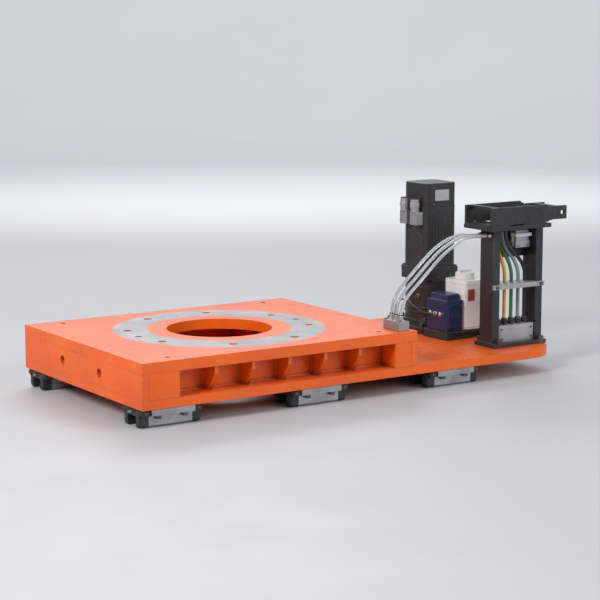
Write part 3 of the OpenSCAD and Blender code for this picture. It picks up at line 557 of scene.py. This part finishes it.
def socket_head(mesh, origin, direction, radius, height):
    """A cap screw head with a hexagon socket."""
    socket = radius * 0.55
    sides = 24
    turn = frame_of(direction)
    rim = [(radius, 0), (radius, height * 0.88), (radius * 0.9, height), (socket * 1.12, height)]
    rings = [[origin + turn @ Vector((r * math.cos(a), r * math.sin(a), z))
              for a in (2 * math.pi * k / sides for k in range(sides))] for r, z in rim]
    loops = [[mesh.verts.new(p) for p in ring] for ring in rings]
    for a, b in zip(loops, loops[1:]):
        for k in range(sides):
            mesh.faces.new((a[k], a[(k + 1) % sides], b[(k + 1) % sides], b[k]))
    for depth in (height, height * 0.35):
        hexagon = []
        for k in range(sides):
            a = 2 * math.pi * k / sides
            reach = socket * math.cos(math.pi / 6) / math.cos((a % (math.pi / 3)) - math.pi / 6)
            corner = Vector((reach * math.cos(a), reach * math.sin(a), depth))
            hexagon.append(mesh.verts.new(origin + turn @ corner))
        loops.append(hexagon)
        a, b = loops[-2], loops[-1]
        for k in range(sides):
            mesh.faces.new((a[k], a[(k + 1) % sides], b[(k + 1) % sides], b[k]))
    mesh.faces.new(loops[-1])
    mesh.faces.new(list(reversed(loops[0])))


# ---------------------------------------------------------------- weld beads

BEAD_RADIUS = 4.0 * MM
RIPPLE = 5.0 * MM


def bead(mesh, start, end, rng, radius=BEAD_RADIUS):
    """One weld run, with overlapping ripples and a slightly unsteady hand."""
    start, end = Vector(start), Vector(end)
    length = (end - start).length
    count = max(2, round(length / RIPPLE))
    path, sizes = [], []
    for i in range(count):
        for part, scale in ((0.05, 0.86), (0.55, 1.05), (0.92, 0.98)):
            path.append(start.lerp(end, (i + part) / count))
            sizes.append(radius * scale * rng.uniform(0.94, 1.05))
    tube(mesh, path, radius, 8, lambda i: sizes[i])


def weld_beads():
    """Beads along the side webs, round the side ribs, and at the foot of the right end plate."""
    rib_half, rib_foot, end_gap, thin, bays = 6 * MM, 24 * MM, 6 * MM, 3 * MM, 6
    rng = random.Random(4)
    mesh = bmesh.new()
    low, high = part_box("side_webs")
    rib_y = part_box("side_ribs")[1].y
    right_low, right_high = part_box("end_plate_right")
    for side in (-1, 1):
        for z in (low.z, high.z):
            bead(mesh, (low.x, side * high.y, z), (high.x, side * high.y, z), rng)
    for k in range(1, bays):
        for side in (-1, 1):
            y = side * high.y
            for dx in (-rib_half, rib_half):
                x = low.x + (high.x - low.x) * k / bays + dx
                bead(mesh, (x, y, low.z + end_gap), (x, y, high.z - end_gap), rng, thin)
                bead(mesh, (x, y, low.z), (x, y + side * rib_foot, low.z), rng, thin)
                bead(mesh, (x, y, high.z), (x, side * rib_y, high.z), rng, thin)
    bead(mesh, (right_high.x, right_low.y, low.z), (right_high.x, right_high.y, low.z), rng)
    piece("weld_beads", mesh, "carriage", "weld", 70.0)


weld_beads()


# ---------------------------------------------------------------- guide details

def runner_details():
    """Cap screws and lubrication plugs on the twelve end caps."""
    screw_y, screw_drop = 36.1 * MM, 13 * MM
    plug_x, plug_drop, plug_sunk = 13 * MM, 10 * MM, 1.5 * MM
    plug_profile = [(3.2 * MM, 0), (3.2 * MM, 2.2 * MM), (2.4 * MM, 2.9 * MM)]
    screws = bmesh.new()
    plugs = bmesh.new()
    for number in RUNNERS:
        low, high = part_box(f"runner_caps_{number}")
        middle = (low.y + high.y) / 2
        for x, way in ((low.x, -1), (high.x, 1)):
            for dy in (-screw_y, screw_y):
                spot = Vector((x, middle + dy, high.z - screw_drop))
                socket_head(screws, spot, way * X_AXIS, 3.6 * MM, 2.6 * MM)
        for y, way in ((low.y + plug_sunk, -1), (high.y - plug_sunk, 1)):
            for x in (low.x + plug_x, high.x - plug_x):
                lathe(plugs, Vector((x, y, high.z - plug_drop)), way * Y_AXIS, plug_profile, 16)
    piece("runner_cap_screws", screws, "carriage", "bolt")
    piece("runner_plugs", plugs, "carriage", "red")


runner_details()


# ---------------------------------------------------------------- cables, hoses and their fittings

ROUTE_STEPS = 8                 # curve points from one point of a route to the next
ROUTE_SIDES = 18
ROUTE_SMOOTH = 60.0             # edges flatter than this many degrees are shaded smooth


def routed(name, route, radius, material, node):
    """A cable or hose on the carriage, along a route in millimetres, in place of its CAD node."""
    mesh = bmesh.new()
    tube(mesh, spline([Vector(p) * MM for p in route], ROUTE_STEPS), radius, ROUTE_SIDES)
    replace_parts(piece(name, mesh, "carriage", material, ROUTE_SMOOTH), node)


CABLE_COLOURS = ("orange_cable", "yellow", "green", "grey_cable", "black_cable")
CABLE_X0 = 828.0
CABLE_STEP = 26.0
CABLE_LANE = 18.0
CABLE_D = 11.0
POST_Y = -230.0
COMB_X = 933.0
DROP_X = 824.5
PIVOT_Z = 293.0
CLAMP_Z = 88.0
BOX_TOP = -38.0


def s_bend(t):
    """0 to 1 along an S made of two parabolas."""
    return 2 * t * t if t < 0.5 else 1 - 2 * (1 - t) ** 2


def cable_route(i):
    """The route of one supply cable, in millimetres, as the CAD has it.

    It comes level out of the comb, turns down through a quarter bend, and follows an S from its lane in the
    comb to its own place in the clamp bar and the terminal box.
    """
    x = CABLE_X0 + i * CABLE_STEP
    lane = (2 - i) * CABLE_LANE
    y = POST_Y + lane
    bend = 4 * CABLE_D
    top = PIVOT_Z - 2
    high = top - bend - 2
    low = CLAMP_Z + 14
    route = [(COMB_X + 8, y, top), (COMB_X - 20, y, top), (DROP_X + bend + 18, y, top)]
    for turn in range(4, -1, -1):
        a = math.radians(22.5 * turn)
        route.append((DROP_X + bend * (1 - math.cos(a)), y, top - bend * (1 - math.sin(a))))
    for k in range(1, 9):
        part = s_bend(k / 8)
        route.append((DROP_X + part * (x - DROP_X), POST_Y + (1 - part) * lane, high + (low - high) * k / 8))
    for z in (CLAMP_Z - 4, CLAMP_Z - 24, BOX_TOP + 60, BOX_TOP + 19, BOX_TOP - 10):
        route.append((x, POST_Y, z))
    return route


for index, cable_colour in enumerate(CABLE_COLOURS):
    routed(f"supply_cable_{index + 1}", cable_route(index), CABLE_D / 2 * MM, cable_colour,
           "supply_cables")


def cable_glands():
    """Five glands: a hexagon body, a ribbed dome nut and a rubber sleeve."""
    body = [(11.4 * MM, 0), (11.4 * MM, 7.4 * MM), (10.2 * MM, 8.6 * MM)]
    dome = [(9.6 * MM, 8.2 * MM), (9.9 * MM, 9.4 * MM), (9.9 * MM, 13.5 * MM), (8.9 * MM, 16.5 * MM),
            (7.4 * MM, 18.4 * MM)]
    sleeve = [(7.2 * MM, 17.0 * MM), (7.1 * MM, 18.9 * MM), (6.1 * MM, 19.0 * MM)]
    sides, groove = 48, 0.35 * MM
    turn = frame_of(Z_AXIS)
    nuts = bmesh.new()
    sleeves = bmesh.new()
    for i in range(len(CABLE_COLOURS)):
        foot = Vector((CABLE_X0 + i * CABLE_STEP, POST_Y, BOX_TOP)) * MM
        lathe(nuts, foot, Z_AXIS, body, 6)
        rings = []
        for radius, z in dome:
            ring = []
            for k in range(sides):
                a = 2 * math.pi * k / sides
                r = radius - groove * (k % 2)
                ring.append(foot + turn @ Vector((r * math.cos(a), r * math.sin(a), z)))
            rings.append(ring)
        sweep(nuts, rings)
        lathe(sleeves, foot, Z_AXIS, sleeve, 24)
    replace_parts(piece("gland_nuts", nuts, "carriage", "plastic"), "cable_glands")
    piece("gland_sleeves", sleeves, "carriage", "seal")


cable_glands()

HOSES = 3
HOSE_RADIUS = 4.5 * MM
MANIFOLD_X, MANIFOLD_Y, MANIFOLD_STEP, MANIFOLD_TOP = 406.0, -318.0, 22.0, 26.0
FITTING = 18.0
HOSE_X, HOSE_Y, HOSE_STEP, HOSE_Z = 785.0, -248.0, 18.0, 235.0


def hose_route(k):
    """The route of one air hose, in millimetres, as the CAD has it. Its ends reach into the fittings."""
    y = HOSE_Y + k * HOSE_STEP
    low_y = MANIFOLD_Y + k * MANIFOLD_STEP
    x = HOSE_X - FITTING
    bow = 7 * k
    return [
        (x + 2, y, HOSE_Z), (x - 16, y, HOSE_Z), (x - 42, y, HOSE_Z + 1),
        (x - 82, (7 * y + low_y) / 8, HOSE_Z + bow / 3), (632, (5 * y + 3 * low_y) / 8, 221 + bow * 0.8),
        (574, (3 * y + 5 * low_y) / 8, 198 + bow), (520, (y + 7 * low_y) / 8, 168 + bow),
        (474, low_y, 134 + bow), (440, low_y, 105 + bow * 0.8), (418, low_y, 81 + bow / 2),
        (MANIFOLD_X + 3, low_y, 62 + bow / 6), (MANIFOLD_X, low_y, MANIFOLD_TOP + FITTING - 2),
    ]


for index in range(HOSES):
    routed(f"air_hose_{index + 1}", hose_route(index), HOSE_RADIUS, "hose", "air_hoses")


def push_fitting(bodies, collars, origin, direction):
    """A push-in fitting: hexagon, nickel barrel and plastic release collar."""
    lathe(bodies, origin, direction, [(8.4 * MM, 0), (8.4 * MM, 6.2 * MM), (7.6 * MM, 7 * MM)], 6)
    lathe(bodies, origin, direction, [(6.8 * MM, 6.6 * MM), (7.0 * MM, 7.4 * MM), (7.0 * MM, 14 * MM),
                                      (6.4 * MM, 15 * MM)], 32)
    lathe(collars, origin, direction, [(5.4 * MM, 14.6 * MM), (5.6 * MM, 16 * MM), (6.5 * MM, 16.2 * MM),
                                       (6.5 * MM, 17.6 * MM), (5.6 * MM, 18 * MM)], 32)


def hose_fittings():
    """The manifold block on the deck, its screws, and a push-in fitting at both ends of every hose."""
    half_x, margin_y, screw_x, screw_y = 18, 16, 11, 10
    bodies = bmesh.new()
    collars = bmesh.new()
    block = bmesh.new()
    screws = bmesh.new()
    last = (HOSES - 1) * MANIFOLD_STEP
    low = Vector((MANIFOLD_X - half_x, MANIFOLD_Y - margin_y, 0))
    high = Vector((MANIFOLD_X + half_x, MANIFOLD_Y + last + margin_y, MANIFOLD_TOP))
    box(block, low * MM, high * MM, 1.2 * MM, 3)
    for k in range(HOSES):
        foot = Vector((MANIFOLD_X, MANIFOLD_Y + k * MANIFOLD_STEP, MANIFOLD_TOP))
        push_fitting(bodies, collars, foot * MM, Z_AXIS)
        push_fitting(bodies, collars, Vector((HOSE_X, HOSE_Y + k * HOSE_STEP, HOSE_Z)) * MM, -X_AXIS)
    for y in (MANIFOLD_Y - screw_y, MANIFOLD_Y + last + screw_y):
        for dx in (-screw_x, screw_x):
            socket_head(screws, Vector((MANIFOLD_X + dx, y, MANIFOLD_TOP)) * MM, Z_AXIS, 4.2 * MM, 2.5 * MM)
    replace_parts(piece("manifold_block", block, "carriage", "cast"), "hose_fittings")
    piece("push_fittings", bodies, "carriage", "zinc")
    piece("release_collars", collars, "carriage", "plastic")
    piece("manifold_screws", screws, "carriage", "bolt")


hose_fittings()

FEED_ROUTE = [
    (738, 160, -133), (738, 160, -75), (738, 160, -44), (733, 142, -12), (724, 105, 4), (718, 60, 2),
    (713, 36, -5), (711, 12, -11), (712, -10, -17), (720, -27, -22), (737, -35, -24), (750, -35, -24),
]
routed("felt_feed_tube_run", FEED_ROUTE, 3.0 * MM, "black_cable", "felt_feed_tube")


# ---------------------------------------------------------------- drive details

def band(mesh, centre, half_x, half_y, corner, low, high, out):
    """A raised band round a block with rounded corners, from height low to high."""
    def outline(grow, z):
        points = []
        for quarter in range(4):
            cx = (half_x - corner) * (1 if quarter in (0, 3) else -1)
            cy = (half_y - corner) * (1 if quarter in (0, 1) else -1)
            for k in range(7):
                a = math.pi / 2 * (quarter + k / 6)
                points.append(Vector((centre.x + cx + (corner + grow) * math.cos(a),
                                      centre.y + cy + (corner + grow) * math.sin(a), z)))
        return points
    rings = [outline(-out, low), outline(out * 0.6, low), outline(out, low * 0.7 + high * 0.3),
             outline(out, low * 0.3 + high * 0.7), outline(out * 0.6, high), outline(-out, high)]
    loops = [[mesh.verts.new(p) for p in ring] for ring in rings]
    count = len(loops[0])
    for a, b in zip(loops, loops[1:] + loops[:1]):
        for k in range(count):
            mesh.faces.new((a[k], a[(k + 1) % count], b[(k + 1) % count], b[k]))


def ribbed_ring(mesh, origin, direction, radius, length, ribs, depth):
    """A knurled collar."""
    turn = frame_of(direction)
    rings = []
    for grow, along in ((-1.0, 0.0), (0.0, 0.06), (0.0, 0.94), (-1.0, 1.0)):
        ring = []
        for k in range(ribs * 4):
            a = math.pi * k / (ribs * 2)
            r = radius + grow * depth - (depth if k % 4 in (0, 3) else 0.0)
            ring.append(origin + turn @ Vector((r * math.cos(a), r * math.sin(a), along * length)))
        rings.append(ring)
    sweep(mesh, rings)


def motor_details():
    """Flange and cap screws, the seal under the cap, a blank rating plate, and the connectors' collars."""
    flange_t, flange_screw = 16 * MM, 57.5 * MM
    cap_screw_x, cap_screw_low, cap_screw_high = 34 * MM, 10 * MM, 14 * MM
    seal_half, seal_corner, seal_t, seal_out = 60.5 * MM, 21 * MM, 2.8 * MM, 0.9 * MM
    plate_half, plate_low, plate_high, rivet_in = 27, 20, 54, 3
    plug_x, plug_y, collar_drop, cover_rise = 14 * MM, 26 * MM, 26 * MM, 25.5 * MM
    rivet = [(1.3 * MM, 0), (1.2 * MM, 0.5 * MM), (0.6 * MM, 0.8 * MM)]
    dust_cap = [(13.2 * MM, 0), (13.2 * MM, 2.4 * MM), (11.8 * MM, 3.6 * MM), (5 * MM, 3.9 * MM)]
    low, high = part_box("motor_body")
    cap_low, cap_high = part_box("motor_cap")
    middle = (low + high) / 2
    screws = bmesh.new()
    for dx in (-flange_screw, flange_screw):
        for dy in (-flange_screw, flange_screw):
            spot = Vector((middle.x + dx, middle.y + dy, low.z + flange_t - 0.2 * MM))
            socket_head(screws, spot, Z_AXIS, 4.6 * MM, 5 * MM)
    for dx in (-cap_screw_x, cap_screw_x):
        for z in (cap_low.z + cap_screw_low, cap_high.z - cap_screw_high):
            socket_head(screws, Vector((middle.x + dx, cap_low.y + 0.2 * MM, z)), -Y_AXIS, 3.0 * MM, 2.2 * MM)
    piece("motor_screws", screws, "drive", "bolt")
    seal = bmesh.new()
    band(seal, middle, seal_half, seal_half, seal_corner, cap_low.z - seal_t / 2, cap_low.z + seal_t / 2,
         seal_out)
    piece("motor_seal", seal, "drive", "seal", 50.0)
    plate = bmesh.new()
    foot = Vector((middle.x, cap_low.y, cap_low.z))
    box(plate, foot + Vector((-plate_half, -0.7, plate_low)) * MM,
        foot + Vector((plate_half, 0.3, plate_high)) * MM, 0.25 * MM)
    for x in (rivet_in - plate_half, plate_half - rivet_in):
        for z in (plate_low + rivet_in, plate_high - rivet_in):
            lathe(plate, foot + Vector((x, -0.6, z)) * MM, -Y_AXIS, rivet, 12)
    piece("motor_plate", plate, "drive", "plate")
    plugs_low, plugs_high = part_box("motor_connectors")
    collars = bmesh.new()
    covers = bmesh.new()
    for dy in (-plug_y, plug_y):
        foot = Vector((plugs_low.x + plug_x, middle.y + dy, plugs_high.z - collar_drop))
        ribbed_ring(collars, foot, Z_AXIS, 15.4 * MM, 15 * MM, 22, 0.8 * MM)
        lathe(covers, foot + Z_AXIS * cover_rise, Z_AXIS, dust_cap, 32)
    piece("connector_collars", collars, "drive", "zinc", 50.0)
    piece("connector_dust_caps", covers, "drive", "plastic")


def gearbox_details():
    """Three oil plugs round the housing and two clamp screws in the motor adapter."""
    plug_radius, plug_z, clamp_drop, clamp_share = 74.4 * MM, 88 * MM, 12 * MM, 0.35
    low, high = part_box("gearbox_housing")
    adapter_low, adapter_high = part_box("motor_adapter")
    middle = (low + high) / 2
    half_x = (adapter_high.x - adapter_low.x) / 2
    plugs = bmesh.new()
    for turn in (205, 268, 335):
        a = math.radians(turn)
        way = Vector((math.cos(a), math.sin(a), 0))
        spot = Vector((middle.x, middle.y, low.z + plug_z)) + way * plug_radius
        socket_head(plugs, spot, way, 8 * MM, 4.5 * MM)
    for dx in (-clamp_share * half_x, clamp_share * half_x):
        spot = Vector((middle.x + dx, adapter_low.y + 0.4 * MM, adapter_high.z - clamp_drop))
        socket_head(plugs, spot, -Y_AXIS, 4.2 * MM, 2.4 * MM)
    piece("gearbox_plugs", plugs, "drive", "bolt")


motor_details()
gearbox_details()


# ---------------------------------------------------------------- lubricator details

def lubricator_details():
    """Outlets, cover and screws of the pump; ribs, level marks, plate and lid grip of the reservoir."""
    outlet_step, outlet_sunk, tube_reach, plug_reach = 24 * MM, 0.4 * MM, 13 * MM, 9 * MM
    hexagon = [(7.5 * MM, 0), (7.5 * MM, 6 * MM), (6.6 * MM, 7 * MM)]
    cover_in, cover_low, cover_high = 7 * MM, 10 * MM, 84 * MM
    raised_in, raised_low, raised_high = 15 * MM, 22 * MM, 50 * MM
    rib_t, rib_out, rib_low, rib_high, tank_corner = 3 * MM, 1.2 * MM, 8 * MM, 10 * MM, 14 * MM
    marks, mark_z, mark_step, mark_in, mark_t = 9, 26 * MM, 11 * MM, 16 * MM, 1.1 * MM
    low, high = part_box("lube_pump")
    tank_low, tank_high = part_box("lube_reservoir")
    base_low, base_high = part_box("lube_base")
    lid_low, lid_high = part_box("lube_lid")
    feed = Vector(FEED_ROUTE[-1]) * MM
    outlets = bmesh.new()
    for dy in (-outlet_step, 0.0, outlet_step):
        spot = Vector((low.x + outlet_sunk, feed.y + dy, feed.z))
        lathe(outlets, spot, -X_AXIS, hexagon, 6)
        end = plug_reach if dy else tube_reach
        lathe(outlets, spot, -X_AXIS, [(4.6 * MM, 6.5 * MM), (4.6 * MM, end), (3.6 * MM, end + 1 * MM)], 24)
    piece("lube_outlets", outlets, "carriage", "zinc")
    cover = bmesh.new()
    box(cover, (low.x + cover_in, low.y - 2 * MM, low.z + cover_low),
        (high.x - cover_in, low.y + 1 * MM, low.z + cover_high), 1.2 * MM, 3)
    box(cover, (low.x + raised_in, low.y - 3.2 * MM, low.z + raised_low),
        (high.x - raised_in, low.y, low.z + raised_high), 0.8 * MM, 2)
    piece("lube_cover", cover, "carriage", "blue")
    screws = bmesh.new()
    for x in (low.x + 12 * MM, high.x - 12 * MM):
        for z in (low.z + 15 * MM, low.z + 79 * MM):
            socket_head(screws, Vector((x, low.y - 1.9 * MM, z)), -Y_AXIS, 2.8 * MM, 1.8 * MM)
    for x in (tank_low.x + 4 * MM, tank_high.x + 1 * MM):
        hex_head(screws, Vector((x, base_low.y + 4.5 * MM, base_high.z)), Z_AXIS, 5.5 * MM, 2.8 * MM)
    piece("lube_screws", screws, "carriage", "bolt")
    ribs = bmesh.new()
    size = (tank_high - tank_low) / 2
    for z in (tank_low.z + rib_low, tank_high.z - rib_high):
        band(ribs, tank_low + size, size.x, size.y, tank_corner, z, z + rib_t, rib_out)
    for k in range(marks):
        x = tank_high.x - mark_in
        z = tank_low.z + mark_z + mark_step * k
        wide = (9 if k % 2 == 0 else 5) * MM
        box(ribs, (x - wide, tank_low.y - 0.5 * MM, z), (x, tank_low.y + 0.6 * MM, z + mark_t))
    piece("reservoir_ribs", ribs, "carriage", "white", 50.0)
    plate = bmesh.new()
    box(plate, (tank_low.x + 16 * MM, tank_low.y - 0.6 * MM, tank_high.z - 62 * MM),
        (tank_low.x + 42 * MM, tank_low.y + 0.5 * MM, tank_high.z - 26 * MM), 0.25 * MM)
    piece("reservoir_plate", plate, "carriage", "red")
    grip = bmesh.new()
    middle = (lid_low + lid_high) / 2
    foot = Vector((middle.x, middle.y, lid_low.z + 7.5 * MM))
    ribbed_ring(grip, foot, Z_AXIS, 29.6 * MM, 12 * MM, 30, 0.7 * MM)
    piece("lid_grip", grip, "filler_cap", "white", 50.0)


lubricator_details()


# ---------------------------------------------------------------- chain post details

def post_details():
    """Welds on the uprights, the terminal box's lid, and screws in the lid, clamp bar and top plate."""
    rng = random.Random(9)
    foot_t, top_t, top_reach, foot_reach = 12 * MM, 12 * MM, 35 * MM, 4 * MM
    upright, half_y, lid_in, screw_in, bar_screw_in = 26 * MM, 30, 5 * MM, 11 * MM, 13 * MM
    low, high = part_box("chain_post")
    box_low, box_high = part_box("terminal_box")
    bar_low, bar_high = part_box("clamp_bar")
    front, back = (POST_Y - half_y) * MM, (POST_Y + half_y) * MM
    foot, roof = low.z + foot_t, high.z - top_t
    left, right = low.x + top_reach, high.x - foot_reach
    welds = bmesh.new()
    for x in (left, left + upright, right - upright, right):
        bead(welds, (x, front, foot), (x, back, foot), rng, 3 * MM)
    for x in (left, right - upright):
        bead(welds, (x, front, foot), (x + upright, front, foot), rng, 3 * MM)
        bead(welds, (x, front, roof), (x + upright, front, roof), rng, 2.5 * MM)
    bead(welds, (left, front, roof), (left, back, roof), rng, 2.5 * MM)
    piece("post_welds", welds, "carriage", "black", 70.0)
    lid = bmesh.new()
    box(lid, (box_low.x + lid_in, box_low.y - 2 * MM, box_low.z + lid_in),
        (box_high.x - lid_in, box_low.y + 1 * MM, box_high.z - lid_in), 1.0 * MM, 3)
    piece("terminal_lid", lid, "carriage", "cast")
    screws = bmesh.new()
    for x in (box_low.x + screw_in, box_high.x - screw_in):
        for z in (box_low.z + screw_in, box_high.z - screw_in):
            socket_head(screws, Vector((x, box_low.y - 1.9 * MM, z)), -Y_AXIS, 3.2 * MM, 2.0 * MM)
    for x in (bar_low.x + bar_screw_in, bar_high.x - bar_screw_in):
        spot = Vector((x, bar_low.y + 0.2 * MM, (bar_low.z + bar_high.z) / 2))
        hex_head(screws, spot, -Y_AXIS, 8 * MM, 5 * MM)
    for dy in (-42, 42):
        spot = Vector((left - 13 * MM, (POST_Y + dy) * MM, high.z + 4.8 * MM))
        hex_head(screws, spot, Z_AXIS, 8 * MM, 4.5 * MM)
    piece("post_screws", screws, "carriage", "bolt")


def bracket_details():
    """Moulded ribs outside both side plates, and raised rings round the link's pins."""
    first, last, count, half_t, out = 12 * MM, 180 * MM, 5, 1.5 * MM, 0.9 * MM
    rail_low, rail_high, rail_t, post_in, pivot_reach = 8 * MM, 10 * MM, 2.4 * MM, 9 * MM, 225 * MM
    pin_cap = [(5.6 * MM, 0), (5.6 * MM, 0.6 * MM), (4.6 * MM, 1.0 * MM), (2.4 * MM, 1.0 * MM)]
    low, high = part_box("chain_end_bracket")
    link_low, link_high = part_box("chain_link")
    ribs = bmesh.new()
    start, end = low.x + first, low.x + last
    for y in (low.y, high.y):
        for k in range(count):
            x = start + (end - start) * k / (count - 1)
            box(ribs, (x - half_t, y - out, low.z + post_in),
                (x + half_t, y + out, high.z - post_in), 0.5 * MM)
        for z in (low.z + rail_low, high.z - rail_high):
            box(ribs, (start - half_t, y - out, z), (end + half_t, y + out, z + rail_t), 0.5 * MM)
    piece("bracket_ribs", ribs, "carriage", "plastic")
    caps = bmesh.new()
    for y, way in ((link_low.y, -Y_AXIS), (link_high.y, Y_AXIS)):
        pin = Vector((low.x + pivot_reach, y, PIVOT_Z * MM))
        lathe(caps, pin - way * 0.2 * MM, way, pin_cap, 24)
    piece("link_pin_caps", caps, "chain_end", "plastic")


def connector_details():
    """Two screws in the connector's base and a blanking plug on its cover."""
    plug = [(8 * MM, 0), (8 * MM, 4.5 * MM), (7 * MM, 5.5 * MM), (6.2 * MM, 8 * MM), (4 * MM, 8.5 * MM)]
    screw_in, screw_z = 9 * MM, 5 * MM
    low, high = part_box("connector_cover")
    base_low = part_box("connector_base")[0]
    screws = bmesh.new()
    for x in (low.x + screw_in, high.x - screw_in):
        spot = Vector((x, base_low.y + 0.1 * MM, base_low.z + screw_z))
        socket_head(screws, spot, -Y_AXIS, 2.6 * MM, 1.8 * MM)
    piece("connector_screws", screws, "carriage", "bolt")
    gland = bmesh.new()
    middle = (low + high) / 2
    lathe(gland, Vector((middle.x, middle.y, high.z - 0.5 * MM)), Z_AXIS, plug, 6)
    piece("connector_plug", gland, "carriage", "plastic")


post_details()
bracket_details()
connector_details()


# ---------------------------------------------------------------- setting

def backdrop():
    """A pale disc of floor that turns up into a wall all round, far from the object."""
    floor_z = CAD_BOX[0].z
    flat, turn, wall, sides = 7.5, 2.5, 0.5, 96
    arc = [math.radians(a) for a in range(0, 91, 10)]
    profile = [(flat + turn * math.sin(a), turn * (1 - math.cos(a))) for a in arc]
    profile.append((flat + turn, turn + wall))
    mesh = bmesh.new()
    loops = [[mesh.verts.new((r * math.cos(2 * math.pi * k / sides), r * math.sin(2 * math.pi * k / sides),
                              floor_z + z)) for k in range(sides)] for r, z in profile]
    mesh.faces.new(loops[0])
    for a, b in zip(loops, loops[1:]):
        for k in range(sides):
            mesh.faces.new((a[k], b[k], b[(k + 1) % sides], a[(k + 1) % sides]))
    data = bpy.data.meshes.new("floor")
    mesh.to_mesh(data)
    mesh.free()
    data.shade_smooth()
    floor = bpy.data.objects.new("floor", data)
    bpy.context.scene.collection.objects.link(floor)
    n = Nodes("floor_paint")
    mottled(n, colour(0.47, 0.48, 0.49), colour(0.49, 0.50, 0.51), 0.8, (0.5, 0.62))
    data.materials.append(n.material)
    world = bpy.data.worlds.new("studio")
    bpy.context.scene.world = world
    world.use_nodes = True
    sky = world.node_tree.nodes["Background"]
    sky.inputs["Color"].default_value = colour(0.88, 0.92, 1.0)
    sky.inputs["Strength"].default_value = 0.66


def area_light(name, spot, target, size, power, tint):
    """A rectangular lamp at spot that faces target."""
    data = bpy.data.lights.new(name, "AREA")
    data.shape = "RECTANGLE"
    data.size, data.size_y = size
    data.energy = power
    data.color = tint
    lamp = bpy.data.objects.new(name, data)
    lamp.location = spot
    lamp.rotation_euler = (Vector(target) - Vector(spot)).to_track_quat("-Z", "Y").to_euler()
    bpy.context.scene.collection.objects.link(lamp)


def camera():
    """A long lens from the side that the photograph was taken from."""
    data = bpy.data.cameras.new("camera")
    data.lens = 111.0
    data.clip_end = 60.0
    eye = bpy.data.objects.new("camera", data)
    eye.location = (-2.657, -4.451, 0.915)
    aim = Vector((0.275, 0.0, 0.055))
    eye.rotation_euler = (aim - eye.location).to_track_quat("-Z", "Y").to_euler()
    bpy.context.scene.collection.objects.link(eye)
    bpy.context.scene.camera = eye


backdrop()
area_light("key", (-4.6, -1.6, 3.4), (0.2, 0, 0), (2.0, 1.6), 255, (1.0, 0.97, 0.93))
area_light("fill", (2.6, -4.4, 2.0), (0.4, 0, 0.1), (2.4, 2.0), 90, (0.97, 0.985, 1.0))
area_light("rim", (1.8, 3.8, 3.0), (0.3, 0, 0.1), (3.2, 1.4), 80, (1.0, 1.0, 1.0))
area_light("wall", (2.4, 3.4, 2.9), (5.6, 8.0, 0.9), (6.0, 1.2), 260, (0.97, 0.985, 1.0))
camera()
bpy.context.scene.view_settings.view_transform = "Standard"     # keeps the orange as strong as it is
